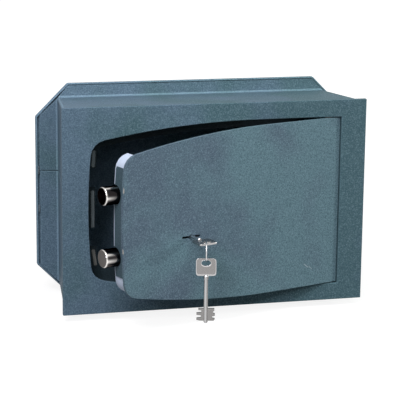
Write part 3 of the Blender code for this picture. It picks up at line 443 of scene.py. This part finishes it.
metalSet = {
    # The chrome's base is painted near black as the dark reflection of the safe's inside; the bright bands and rim
    # drawn on it are painted reflections
    "brightChrome": {
        "Base": (0.022, 0.019, 0.020, 1), "Tarnish": (0.036, 0.030, 0.030, 1), "Polish": (0.80, 0.77, 0.74, 1),
        "Rough Low": 0.06, "Rough High": 0.16, "Line Size": 0.0007, "Stretch": 1.0},
    "keyNickel": {
        "Base": (0.20, 0.193, 0.188, 1), "Tarnish": (0.15, 0.14, 0.13, 1), "Polish": (0.76, 0.76, 0.77, 1),
        "Rough Low": 0.16, "Rough High": 0.36, "Line Size": 0.0005, "Stretch": 1.5},
    "bareSteel": {
        "Base": (0.46, 0.47, 0.48, 1), "Tarnish": (0.36, 0.35, 0.34, 1),
        "Rough Low": 0.28, "Rough High": 0.52, "Line Size": 0.0006, "Stretch": 10.0},
    # The key rotor's steel, painted near black as the shade inside the keyhole
    "bluedSteel": {
        "Base": (0.012, 0.013, 0.014, 1), "Tarnish": (0.020, 0.020, 0.020, 1),
        "Rough Low": 0.30, "Rough High": 0.5, "Line Size": 0.0006, "Stretch": 2.0},
    "zincPlate": {
        "Base": (0.60, 0.61, 0.62, 1), "Tarnish": (0.50, 0.50, 0.46, 1),
        "Rough Low": 0.26, "Rough High": 0.48, "Line Size": 0.0009, "Stretch": 2.0},
    "leverBrass": {
        "Base": (0.68, 0.50, 0.22, 1), "Tarnish": (0.50, 0.36, 0.17, 1),
        "Rough Low": 0.24, "Rough High": 0.44, "Line Size": 0.0006, "Stretch": 10.0},
}
# Bumps are (strength, distance); the dark metals, the chrome with its painted dark reflection and the rotor painted as
# keyhole shade, stay dark at their edges too
shineSet = {"paintShine": 0.06, "paintBump": (0.45, 0.0006), "enamelBump": (0.08, 0.0006), "metalBump": (0.12, 0.0002),
            "darkMetals": ("brightChrome", "bluedSteel"), "darkEdge": (0.2, 0.2, 0.2, 1), "brightEdge": (1, 1, 1, 1)}
finishes = {}
for name, values in paintSet.items():
    fixed = {"Metallic": 0.0, "Specular IOR Level": shineSet["paintShine"]}
    bump = shineSet["enamelBump" if name == "whiteEnamel" else "paintBump"]
    finishes[name] = makeFinish(name, "hammer", values, fixed, bump)
for name, values in metalSet.items():
    edge = shineSet["darkEdge" if name in shineSet["darkMetals"] else "brightEdge"]
    fixed = {"Metallic": 1.0, "Specular Tint": edge}
    finishes[name] = makeFinish(name, "handled", values, fixed, shineSet["metalBump"])

# Light spots where the bolts leave the door's edge and two light scratches low on the door, then painted
# light on the frame, lit strips along its flange between the bolts' notches: each one's ends, width and colour
markRows = {
    "doorPaint": [
        ((-0.12790, -0.21390, 0.0446), (-0.12755, -0.21380, 0.0412), 0.0019, (0.44, 0.43, 0.40, 1)),
        ((-0.12880, -0.21420, -0.0238), (-0.12845, -0.21408, -0.0270), 0.0019, (0.46, 0.44, 0.40, 1)),
        ((0.1045, -0.13837, -0.0719), (0.1095, -0.13675, -0.0762), 0.00055, (0.30, 0.38, 0.42, 1)),
        ((0.1110, -0.13625, -0.0752), (0.1150, -0.13495, -0.0792), 0.00050, (0.28, 0.36, 0.40, 1)),
    ],
    # Painted light: lit strips along the frame's flange between the bolts' notches
    "framePaint": [
        ((-0.1390, -0.1035, 0.0648), (-0.1400, -0.1035, 0.0486), 0.0022, (0.190, 0.225, 0.245, 1)),
        ((-0.1409, -0.1035, 0.0181), (-0.1408, -0.1035, -0.0244), 0.0022, (0.190, 0.225, 0.245, 1)),
        ((-0.1403, -0.1035, -0.0518), (-0.1379, -0.1035, -0.0675), 0.0022, (0.210, 0.215, 0.205, 1)),
    ],
}


def addMarks(material, rows):
    tree = material.node_tree
    shader = tree.nodes["Principled BSDF"]
    color = shader.inputs["Base Color"].links[0].from_socket
    for start, end, width, tone in rows:
        mark = tree.nodes.new("ShaderNodeGroup")
        mark.node_tree = groups["mark"]
        for label, value in (("Start", start), ("End", end), ("Width", width)):
            mark.inputs[label].default_value = value
        color = mixColor(tree, mark.outputs["Mask"], color, tone)
    tree.links.new(color, shader.inputs["Base Color"])


for name, rows in markRows.items():
    addMarks(finishes[name], rows)
print("finishes made:", len(finishes))


# Each CAD node's finish, by its record slot or its own
slotFinish = {"hammered_paint": "hammeredPaint", "dark_paint": "darkPaint", "white_enamel": "whiteEnamel",
              "bright_chrome": "brightChrome", "bare_steel": "bareSteel", "zinc_plate": "zincPlate",
              "key_nickel": "keyNickel", "lever_brass": "leverBrass", "weld_metal": "weldMetal"}
nodeSlot = {row["node"]: row["material_slot"] for row in frame["record"]["subparts"]}
ownFinish = {"door_plate": "doorPaint", "bolt_strip": "stripPaint", "stop_frame": "framePaint",
             "key_rotor": "bluedSteel"}


def nodeFinish(nodeName):
    return ownFinish.get(nodeName, slotFinish[nodeSlot[nodeName]])


for nodeName, item in nodes.items():
    item.data.materials.clear()
    item.data.materials.append(finishes[nodeFinish(nodeName)])


def camelName(nodeName, ending="Fine"):
    first, *others = nodeName.split("_")
    return first + "".join(word.capitalize() for word in others) + ending


def addPiece(name, mesh, nodeName):
    # A piece made here, in the place of its CAD node
    item = bpy.data.objects.new(name, mesh)
    bpy.context.scene.collection.objects.link(item)
    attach(item, nodes[nodeName]["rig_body"])
    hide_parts(nodeName)
    return item


def shadeByAngle(mesh, degrees):
    # Smooth, but for edges sharper than the angle
    mesh.shade_smooth()
    mesh.set_sharp_from_angle(angle=math.radians(degrees))


# CAD surfaces, in metres and degrees: an edge sharper than foldAngle is a fold or a cut rim, and a face
# slimmer than rimWidth makes it a rim
surfaceSet = {"weld": 0.00002, "flatAngle": 0.5, "smoothAngle": 40, "foldedAngle": 35, "foldAngle": 25,
              "rimWidth": 0.0045, "bendSteps": 4, "flatWeight": 100}


def weldedCopy(nodeName):
    # The node's own surface as one closed mesh with its flat faces whole
    mesh = nodes[nodeName].data.copy()
    mesh.name = camelName(nodeName)
    bm = bmesh.new()
    bm.from_mesh(mesh)
    bmesh.ops.remove_doubles(bm, verts=bm.verts, dist=surfaceSet["weld"])
    bmesh.ops.dissolve_limit(bm, angle_limit=math.radians(surfaceSet["flatAngle"]), verts=bm.verts, edges=bm.edges)
    return mesh, bm


def finishCopy(nodeName, mesh, bm, degrees):
    bm.to_mesh(mesh)
    bm.free()
    shadeByAngle(mesh, degrees)
    return addPiece(camelName(nodeName), mesh, nodeName)


def evenShading(item):
    # Broad flat faces keep their own direction up to their edges
    even = item.modifiers.new("evenShading", "WEIGHTED_NORMAL")
    even.weight = surfaceSet["flatWeight"]
    even.keep_sharp = True


def smoothCopy(nodeName):
    # Round sides shaded smooth
    mesh, bm = weldedCopy(nodeName)
    evenShading(finishCopy(nodeName, mesh, bm, surfaceSet["smoothAngle"]))


def foldedCopy(nodeName, width, rim, clamped):
    # Bent sheet: its folds get a bend radius, the cut rims of the sheet a broken edge; on both the paint is
    # a shade lighter, a painted highlight along the folds and rims
    mesh, bm = weldedCopy(nodeName)
    weight = bm.edges.layers.float.new("bevel_weight_edge")
    for edge in bm.edges:
        if len(edge.link_faces) != 2 or edge.calc_face_angle() < math.radians(surfaceSet["foldAngle"]):
            continue
        slim = min(face.calc_area() / max(side.calc_length() for side in face.edges) for face in edge.link_faces)
        edge[weight] = 1.0 if slim > surfaceSet["rimWidth"] else rim
    item = finishCopy(nodeName, mesh, bm, surfaceSet["foldedAngle"])
    bend = item.modifiers.new("bends", "BEVEL")
    bend.limit_method = "WEIGHT"
    bend.width = width
    bend.segments = surfaceSet["bendSteps"]
    bend.use_clamp_overlap = clamped
    # The folds and rims take the lighter paint as a painted highlight
    if nodeFinish(nodeName) == "hammeredPaint":
        item.data.materials.append(finishes["foldPaint"])
        bend.material = 1
    evenShading(item)


smoothNodes = ["door_plate", "door_rim", "bolt_strip", "hinge_pin_upper", "hinge_pin_lower", "hinge_sleeve_upper",
               "hinge_sleeve_lower", "key_rotor", "stop_frame", "lock_cover", "lock_case"]
for nodeName in smoothNodes:
    smoothCopy(nodeName)
# Bend radius, the share of it that cut rims get, and whether short edges hold it back
foldSet = {"body_upper_shell": (0.0022, 0.22, False), "body_lower_shell": (0.0022, 0.22, False),
           "back_plate": (0.0016, 0.25, False), "front_plate": (0.0008, 1.0, True)}
for nodeName, given in foldSet.items():
    foldedCopy(nodeName, *given)
print("CAD surfaces refined:", len(smoothNodes) + len(foldSet))


# Surfaces worked out with numpy

# Distances at which seams weld and slivers vanish, in metres
joinSet = {"weld": 0.000004, "sliver": 0.000002}


def gridShape(points, closeU=False, closeV=False):
    # A grid of points, u by v by 3, joined into quads; either way may close on itself
    countU, countV = points.shape[:2]
    index = np.arange(countU * countV).reshape(countU, countV)
    if closeU:
        index = np.vstack((index, index[:1]))
    if closeV:
        index = np.hstack((index, index[:, :1]))
    quads = np.stack((index[:-1, :-1], index[1:, :-1], index[1:, 1:], index[:-1, 1:]), axis=-1).reshape(-1, 4)
    return points.reshape(-1, 3), quads.tolist()


def turnedShape(profile, sides, ripple=None):
    # A profile of (radius, height) carried once round the z axis:
    # x = radius cos(angle), y = radius sin(angle), z = height
    radius, height = np.array(profile, dtype=float).T
    angle = np.linspace(0, 2 * math.pi, sides, endpoint=False)
    points = np.empty((len(radius), sides, 3))
    points[..., 0] = radius[:, None] * np.cos(angle)
    points[..., 1] = radius[:, None] * np.sin(angle)
    points[..., 2] = height[:, None]
    if ripple is not None:
        points += ripple(radius[:, None], angle[None, :])
    return gridShape(points, closeV=True)


def roundedProfile(corners, rounding, steps):
    # A polyline of (radius, height) whose inner corners become quarter turns
    corners = np.array(corners, dtype=float)
    given = [corners[0]]
    share = np.linspace(0, 1, steps)[:, None]
    for before, corner, after, size in zip(corners, corners[1:], corners[2:], rounding):
        toBefore = (before - corner) / np.linalg.norm(before - corner)
        toAfter = (after - corner) / np.linalg.norm(after - corner)
        start, end = corner + toBefore * size, corner + toAfter * size
        given += list((1 - share) ** 2 * start + 2 * share * (1 - share) * corner + share ** 2 * end)
    given.append(corners[-1])
    return given


def joinShapes(name, shapes, degrees):
    # Several point and face lists as one mesh, welded at poles and seams
    points, faces, start = [], [], 0
    for shapePoints, shapeFaces in shapes:
        points.append(shapePoints)
        faces += [[corner + start for corner in face] for face in shapeFaces]
        start += len(shapePoints)
    mesh = bpy.data.meshes.new(name)
    mesh.from_pydata(np.concatenate(points).tolist(), [], faces)
    bm = bmesh.new()
    bm.from_mesh(mesh)
    bmesh.ops.remove_doubles(bm, verts=bm.verts, dist=joinSet["weld"])
    bmesh.ops.dissolve_degenerate(bm, edges=bm.edges, dist=joinSet["sliver"])
    bmesh.ops.recalc_face_normals(bm, faces=bm.faces)
    bm.to_mesh(mesh)
    bm.free()
    shadeByAngle(mesh, degrees)
    return mesh


def meshPoints(mesh):
    points = np.empty(len(mesh.vertices) * 3)
    mesh.vertices.foreach_get("co", points)
    return points.reshape(-1, 3)


def addShapes(nodeName, name, shapes, origin, axes, degrees, rule=None):
    # Shapes in a piece's own axes as one piece in the frame; the rule says how bright each point is, by
    # wear and by painted highlight and reflection, from its place in those axes
    turn = np.array(axes)
    moved = [(points @ turn + np.array(origin), faces) for points, faces in shapes]
    mesh = joinShapes(name, moved, degrees)
    mesh.materials.append(finishes[nodeFinish(nodeName)])
    if rule is not None:
        own = (meshPoints(mesh) - np.array(origin)) @ turn.T
        layer = mesh.attributes.new("rubbed", "FLOAT", "POINT")
        layer.data.foreach_set("value", np.clip(rule(*own.T), 0, 1).astype(np.float32))
    addPiece(name, mesh, nodeName)


# The door stands ajar: its own axes, and a point given as if it were closed
door = {"angle": math.radians(18), "hinge": (0.1366, -0.119), "frontY": -0.1275}
doorX = (math.cos(door["angle"]), math.sin(door["angle"]), 0.0)
doorOut = (math.sin(door["angle"]), -math.cos(door["angle"]), 0.0)
upward = (0.0, 0.0, 1.0)


def doorPoint(x, depth, z):
    hingeX, hingeY = door["hinge"]
    across, inward = x - hingeX, door["frontY"] + depth - hingeY
    return (hingeX + across * doorX[0] - inward * doorOut[0], hingeY + across * doorX[1] - inward * doorOut[1], z)


def reachAlong(nodeName, axis):
    # Where a node starts and ends along an axis
    along = meshPoints(nodes[nodeName].data) @ np.array(axis)
    return along.min(), along.max()


# Round bolts: a faced end with fine turning rings, a soft chamfer, a ground shank
boltSet = {"radius": 0.0105, "length": 0.047, "chamfer": 0.0009, "chamferRound": 0.0006, "spigot": 0.005,
           "spigotLength": 0.0106, "shoulderGap": 0.001, "spigotRounds": [0.0003, 0.0003, 0.0004],
           "ringPitch": 0.0007, "ringDepth": 0.000012, "faceSteps": 60, "shankSteps": 40, "chamferSteps": 6,
           "spigotSteps": 4, "sides": 96, "smoothAngle": 50,
           # Where the ring of painted reflection lies behind the face, how far it spreads and how bright it is
           "faceDepth": 0.0003, "rimMiddle": 0.0006, "rimSpread": 0.0008, "rimSlack": 0.0001, "rimBright": 0.9,
           # How bright each face's painted reflection is
           "faceRubbed": {"bolt_upper": 0.0, "bolt_lower": 0.16},
           # Bands of painted reflection along each bolt: turn from the top and spread in degrees, strength and length
           "bands": {"bolt_upper": [(29, 6, 0.95, 0.040), (96, 9, 0.75, 0.009), (150, 12, 0.10, 0.030)],
                     "bolt_lower": [(57, 8, 1.0, 0.010), (98, 10, 0.75, 0.013), (140, 12, 0.16, 0.030)]}}


def boltShape():
    # On the face, height = ring depth (1 + cos(2 pi radius / ring pitch)); the rest is a rounded profile
    radius, length, chamfer = boltSet["radius"], boltSet["length"], boltSet["chamfer"]
    spigot, rounding = boltSet["spigot"], boltSet["chamferRound"]
    face = np.linspace(0, radius - chamfer, boltSet["faceSteps"])
    facing = boltSet["ringDepth"] * (1 + np.cos(2 * math.pi * face / boltSet["ringPitch"]))
    shank = np.linspace(chamfer + rounding, length - boltSet["shoulderGap"], boltSet["shankSteps"])
    profile = list(zip(face[:-1], facing[:-1]))
    profile += roundedProfile([(radius - chamfer, 0), (radius, chamfer), (radius, shank[0])], [rounding],
                              boltSet["chamferSteps"])
    profile += [(radius, height) for height in shank[1:]]
    end = length + boltSet["spigotLength"]
    profile += roundedProfile([(radius, shank[-1]), (radius, length), (spigot, length), (spigot, end), (0, end)],
                              boltSet["spigotRounds"], boltSet["spigotSteps"])[1:]
    return turnedShape(profile, boltSet["sides"])


def makeBolt(nodeName):
    start = reachAlong(nodeName, doorX)[0]
    middleOut, middleUp = (sum(reachAlong(nodeName, axis)) / 2 for axis in (doorOut, upward))
    origin = np.array(doorX) * start + np.array(doorOut) * middleOut + np.array((0, 0, middleUp))
    faceRadius = boltSet["radius"] - boltSet["chamfer"]

    def rule(outward, up, inward):
        # Each band of painted reflection is a bell curve round the shank that dies away towards the door
        turn = np.degrees(np.arctan2(outward, up))
        share = np.zeros(len(turn))
        for middle, spread, strength, reach in boltSet["bands"][nodeName]:
            share += strength * np.exp(-((turn - middle) / spread) ** 2) * np.exp(-(inward / reach) ** 2)
        distance = np.hypot(outward, up)
        face = (inward < boltSet["faceDepth"]) & (distance < faceRadius)
        rim = np.exp(-((inward - boltSet["rimMiddle"]) / boltSet["rimSpread"]) ** 2)
        rim = rim * (distance > faceRadius - boltSet["rimSlack"])
        shank = share * (inward > boltSet["rimMiddle"]) + boltSet["rimBright"] * rim
        return np.where(face, boltSet["faceRubbed"][nodeName], shank)

    axes = (doorOut, upward, doorX)
    addShapes(nodeName, camelName(nodeName), [boltShape()], origin, axes, boltSet["smoothAngle"], rule)


for nodeName in ("bolt_upper", "bolt_lower"):
    makeBolt(nodeName)
print("bolts turned")


# Double-bitted key: bow with a raised border and an oval hole, collared shaft, notched bits; the field's
# ends are shares of the way from the bow's outline to its hole, for which sectionWidth stands
keySet = {"bowHalfWidth": 0.0113, "bowHalfLength": 0.0100, "bowThickness": 0.0022, "bowSquareness": 7.5,
          "fieldDepth": 0.00032, "fieldFrom": 0.13, "fieldTo": 0.93, "fieldSlope": 0.05, "sectionWidth": 0.006,
          "holeHalfWidth": 0.0052, "holeHalfLength": 0.0033, "holeFromEnd": 0.0052,
          "shaftRadius": 0.0023, "shaftLength": 0.0543, "collarRadius": 0.0029, "collarLength": 0.0032,
          "collarSlope": 0.0008, "rootLength": 0.0012, "rootShare": 0.9, "taperLength": 0.0012, "tipShare": 0.55,
          "shaftRounds": [0.0002, 0.0004, 0.0003, 0.0003, 0.0005, 0.0003], "tipLength": 0.0028,
          "bitHalfWidth": 0.0103, "bitLength": 0.0144, "bitThickness": 0.0023, "edgeRound": 0.00028,
          "shoulder": 0.3, "bowSides": 120, "edgeSteps": 7, "sectionSteps": 26, "roundSteps": 4, "shaftSides": 40,
          "smoothAngle": 38,
          # The bits' outline, up the right side and down the left, as shares of their half width and length
          "bits": [(0.86, 0.0), (0.98, 0.12), (0.98, 0.20), (0.70, 0.24), (0.70, 0.34), (1.0, 0.40),
                   (1.0, 0.58), (0.78, 0.64), (0.78, 0.72), (0.94, 0.80), (0.94, 1.0),
                   (-0.80, 1.0), (-0.80, 0.84), (-0.48, 0.82), (-0.48, 0.68), (-1.0, 0.64), (-1.0, 0.46),
                   (-0.52, 0.42), (-0.52, 0.28), (-1.0, 0.22), (-1.0, 0.05), (-0.60, 0.0)],
          # The border counts as raised down to this share of the field's depth
          "raisedShare": 0.5,
          # How bright the parts of each key are, by wear and painted highlight; the spare's shaft has a painted
          # highlight along one line, by place and spread
          "spareWear": {"raised": 0.50, "sunk": 0.13, "line": 0.42, "lineAt": -0.15, "lineSpread": 0.5,
                        "linePower": 4, "shaft": 0.08, "bits": 0.12, "bitsFrom": 1.1},
          "lockWear": {"raised": 0.42, "sunk": 0.34, "shaft": 0.95}}


def bowShape():
    # A ring-like plate: at each angle a straight cut runs from the outer outline, a squarish superellipse, to
    # the oval hole, and the section goes round it: outer edge, upper face with its sunk field, hole edge,
    # lower face
    angle = np.linspace(0, 2 * math.pi, keySet["bowSides"], endpoint=False)
    cosine, sine = np.cos(angle), np.sin(angle)
    power = 2 / keySet["bowSquareness"]
    halfWidth, halfLength = keySet["bowHalfWidth"], keySet["bowHalfLength"]
    outer = np.stack((halfWidth * np.sign(cosine) * np.abs(cosine) ** power,
                      halfLength + halfLength * np.sign(sine) * np.abs(sine) ** power), axis=-1)
    holeZ = 2 * halfLength - keySet["holeFromEnd"]
    hole = np.stack((keySet["holeHalfWidth"] * cosine, holeZ + keySet["holeHalfLength"] * sine), axis=-1)
    half, rounding = keySet["bowThickness"] / 2, keySet["edgeRound"]
    turn = np.linspace(-math.pi / 2, math.pi / 2, keySet["edgeSteps"])
    edgeIn = rounding * (1 - np.cos(turn)) / keySet["sectionWidth"]
    edgeUp = (half - rounding) * np.sign(turn) + rounding * np.sin(turn)
    share = np.linspace(0, 1, keySet["sectionSteps"])[1:-1]
    share = share * (1 - 2 * edgeIn[0]) + edgeIn[0]
    slope = keySet["fieldSlope"]
    sunk = (keySet["fieldDepth"] * np.clip((share - keySet["fieldFrom"]) / slope, 0, 1)
            * np.clip((keySet["fieldTo"] - share) / slope, 0, 1))
    sectionShare = np.concatenate((edgeIn, share, 1 - edgeIn[::-1], share[::-1]))
    sectionUp = np.concatenate((edgeUp, half - sunk, edgeUp[::-1], sunk[::-1] - half))
    flat = outer[:, None, :] * (1 - sectionShare)[None, :, None] + hole[:, None, :] * sectionShare[None, :, None]
    points = np.empty((len(angle), len(sectionShare), 3))
    points[..., 0] = flat[..., 0]
    points[..., 1] = sectionUp[None, :]
    points[..., 2] = flat[..., 1]
    return gridShape(points, closeU=True, closeV=True)


def shaftShape():
    # A round shaft from inside the bow down to a small rounded tip, with a collar under the bow
    length, radius, root = keySet["shaftLength"], keySet["shaftRadius"], keySet["rootLength"]
    collar, under = keySet["collarRadius"], keySet["collarLength"]
    corners = [(0, root), (radius * keySet["rootShare"], root), (collar, 0), (collar, -under),
               (radius, -under - keySet["collarSlope"]), (radius, -length + keySet["taperLength"]),
               (radius * keySet["tipShare"], -length), (0, -length)]
    return turnedShape(roundedProfile(corners, keySet["shaftRounds"], keySet["roundSteps"]), keySet["shaftSides"])


def plateShape(outline, thickness, rounding):
    # A closed outline in x and z lifted to both faces; the rim steps in by the rounding at each face
    outline = np.array(outline, dtype=float)
    ahead = np.roll(outline, -1, axis=0) - outline
    ahead /= np.linalg.norm(ahead, axis=1)[:, None]
    normal = np.stack((-ahead[:, 1], ahead[:, 0]), axis=-1)
    before = np.roll(normal, 1, axis=0)
    inward = (normal + before) / (1 + (normal * before).sum(axis=1))[:, None]
    shoulder, step = keySet["shoulder"], 2 * rounding / thickness
    levels = [(1, -1), (shoulder, shoulder * step - 1), (0, step - 1), (0, 1 - step), (shoulder, 1 - shoulder * step),
              (1, 1)]
    rings = np.empty((len(levels), len(outline), 3))
    for row, (share, level) in enumerate(levels):
        moved = outline + inward * rounding * share
        rings[row, :, 0], rings[row, :, 1], rings[row, :, 2] = moved[:, 0], level * thickness / 2, moved[:, 1]
    points, faces = gridShape(rings, closeV=True)
    count = len(outline)
    faces.append(list(range(count)))
    faces.append([(len(levels) - 1) * count + corner for corner in reversed(range(count))])
    return points, faces


def onBorder(through):
    return np.abs(through) > keySet["bowThickness"] / 2 - keySet["raisedShare"] * keySet["fieldDepth"]


def litWornSpare(across, through, along):
    # Raised border and edges bright, worn and with a painted highlight, sunk field dull, the shaft bright along its
    # left front as a painted highlight
    radius, wornAndLit = keySet["shaftRadius"], keySet["spareWear"]
    bow = np.where(onBorder(through), wornAndLit["raised"], wornAndLit["sunk"])
    line = (across / radius - wornAndLit["lineAt"]) / wornAndLit["lineSpread"]
    shaft = wornAndLit["line"] * np.exp(-line ** wornAndLit["linePower"]) + wornAndLit["shaft"]
    bits = np.where(np.abs(across) > radius * wornAndLit["bitsFrom"], wornAndLit["bits"], shaft)
    low = keySet["tipLength"] + keySet["bitLength"] - keySet["shaftLength"]
    return np.where(along > 0, bow, np.where(along > low, shaft, bits))


def litWornInLock(across, through, along):
    # Bright all over, worn and with a painted highlight, the shaft most of all
    wornAndLit = keySet["lockWear"]
    return np.where(along > 0, np.where(onBorder(through), wornAndLit["raised"], wornAndLit["sunk"]), wornAndLit["shaft"])


def makeKey(nodeName, origin, axes, rule):
    low = keySet["tipLength"] - keySet["shaftLength"]
    bits = [(x * keySet["bitHalfWidth"], low + z * keySet["bitLength"]) for x, z in keySet["bits"]]
    shapes = [bowShape(), shaftShape(), plateShape(bits, keySet["bitThickness"], keySet["edgeRound"])]
    addShapes(nodeName, camelName(nodeName), shapes, origin, axes, keySet["smoothAngle"], rule)


# The key in the lock, by its place in the closed door
keyPlace = {"x": -0.05616, "z": -0.0195175, "outside": 0.0175}
# The ring hangs on the bar of that key's bow, its centre ringDrop lower, and the foot of the spare key's bow
# is keyDrop under the ring's lowest point; both are turned by yaw
hanging = {"bar": (-0.0359431, -0.222431, keyPlace["z"]), "ringDrop": 0.0083, "ringRadius": 0.0105,
           "keyDrop": 0.0170, "yaw": math.radians(14.2)}
ringCentre = np.array(hanging["bar"]) - (0, 0, hanging["ringDrop"])
spareFoot = ringCentre - (0, 0, hanging["ringRadius"] + hanging["keyDrop"])
sideways = (math.cos(hanging["yaw"]), -math.sin(hanging["yaw"]), 0.0)
forward = (math.sin(hanging["yaw"]), math.cos(hanging["yaw"]), 0.0)
makeKey("key", doorPoint(keyPlace["x"], -keyPlace["outside"], keyPlace["z"]), (doorX, upward, doorOut), litWornInLock)
makeKey("spare_key", spareFoot, (sideways, forward, upward), litWornSpare)
print("keys cut")


# Wire ring, closed by a butt joint: a torus whose wire thins along a bell curve at the joint
# The whole wire is made lighter, partly wear and partly a painted highlight
ringSet = {"wire": 0.00075, "joint": math.radians(205), "jointWidth": 0.022, "jointDepth": 0.42, "shift": 0.5,
           "sides": 260, "wireSides": 20, "smoothAngle": 60, "rubbed": 0.7}


def makeRing():
    # x = wire sin(turn), y and z = (radius + wire cos(turn)) times the cosine and sine of the angle; each
    # angle is moved by shift times the joint's width times the sine of its way from the joint
    joint, width = ringSet["joint"], ringSet["jointWidth"]
    angle = np.linspace(0, 2 * math.pi, ringSet["sides"], endpoint=False)
    angle = angle + ringSet["shift"] * width * np.sin(angle - joint)
    turn = np.linspace(0, 2 * math.pi, ringSet["wireSides"], endpoint=False)
    wire = ringSet["wire"] * (1 - ringSet["jointDepth"] * np.exp(-((angle - joint) / width) ** 2))
    reach = hanging["ringRadius"] + wire[:, None] * np.cos(turn)
    points = np.empty((len(angle), len(turn), 3))
    points[..., 0] = wire[:, None] * np.sin(turn)
    points[..., 1] = reach * np.cos(angle)[:, None]
    points[..., 2] = reach * np.sin(angle)[:, None]
    shape = gridShape(points, closeU=True, closeV=True)
    addShapes("key_ring", camelName("key_ring"), [shape], ringCentre, (sideways, forward, upward),
              ringSet["smoothAngle"], lambda across, through, along: np.full(len(along), ringSet["rubbed"]))


makeRing()


# Weld tacks: short beads with overlapping ripples
beadSet = {"ripples": 5, "rippleHeight": 0.16, "steps": 60, "sides": 24, "fullness": 4, "smoothAngle": 60}


def makeBead(nodeName):
    # Half width and height follow the square root of one minus a power of the way along, its fullness,
    # times a saw of soft ripples
    low, high = (np.array(corner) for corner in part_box(nodeName))
    centre, half = (low + high) / 2, (high - low) / 2
    along = np.linspace(-1, 1, beadSet["steps"])
    turn = np.linspace(0, 2 * math.pi, beadSet["sides"], endpoint=False)
    swell = np.sqrt(np.clip(1 - along ** beadSet["fullness"], 0, 1))
    saw = 1 - beadSet["rippleHeight"] * ((along * beadSet["ripples"] / 2 + 0.5) % 1.0)
    size = swell * saw
    points = np.empty((len(along), len(turn), 3))
    points[..., 0] = half[0] * size[:, None] * np.cos(turn)
    points[..., 1] = half[1] * size[:, None] * np.sin(turn)
    points[..., 2] = half[2] * along[:, None]
    addShapes(nodeName, camelName(nodeName, ""), [gridShape(points, closeV=True)], centre, np.eye(3),
              beadSet["smoothAngle"])


for corner in ("left_upper", "left_lower", "right_upper", "right_lower"):
    makeBead("weld_tack_" + corner)


# Cover screws: domed heads with a six-sided socket; lengths in metres, the rest as shares of them
screwSet = {"headRadius": 0.0035, "headHeight": 0.0022, "socketRadius": 0.0015, "socketDepth": 0.0012,
            "socketFloor": 0.96, "socketRim": 0.0001, "socketLip": 1.12, "hexagonTo": 1.06, "flatAt": 0.93,
            "domeDrop": 0.45, "domePower": 2.4, "domeSteps": 10, "shankRadius": 0.0018, "tipTaper": 0.0004,
            "tipShare": 0.7, "sides": 48, "smoothAngle": 35}


def hexagonRipple(radius, angle):
    # Moves the socket's points out to a hexagon: radius / cos(angle to the nearest flat)
    flat = (angle + math.pi / 6) % (math.pi / 3) - math.pi / 6
    inside = radius < screwSet["socketRadius"] * screwSet["hexagonTo"]
    grow = np.where(inside, radius * (screwSet["flatAt"] / np.cos(flat) - 1), 0)
    return np.stack((grow * np.cos(angle), grow * np.sin(angle), np.zeros(grow.shape)), axis=-1)


def screwShape(length):
    # Socket, dome and shank as one profile; the dome falls with a power of the way from socket to rim
    head, height, socket = screwSet["headRadius"], screwSet["headHeight"], screwSet["socketRadius"]
    depth, shank, lip = screwSet["socketDepth"], screwSet["shankRadius"], socket * screwSet["socketLip"]
    dome = np.linspace(0, 1, screwSet["domeSteps"])[1:]
    profile = [(0, -depth), (socket * screwSet["socketFloor"], -depth), (socket, -screwSet["socketRim"]), (lip, 0)]
    profile += [(lip + (head - lip) * share, -height * screwSet["domeDrop"] * share ** screwSet["domePower"])
                for share in dome]
    profile += [(head, -height), (shank, -height), (shank, -length + screwSet["tipTaper"]),
                (shank * screwSet["tipShare"], -length), (0, -length)]
    return turnedShape(profile, screwSet["sides"], hexagonRipple)


def makeScrew(nodeName):
    inward = -np.array(doorOut)
    start, end = reachAlong(nodeName, inward)
    middle, middleUp = (sum(reachAlong(nodeName, axis)) / 2 for axis in (doorX, upward))
    origin = inward * end + np.array(doorX) * middle + np.array((0, 0, middleUp))
    addShapes(nodeName, camelName(nodeName, ""), [screwShape(end - start)], origin, (doorX, upward, inward),
              screwSet["smoothAngle"])


for number in range(1, 5):
    makeScrew("cover_screw_%d" % number)
print("small pieces done")
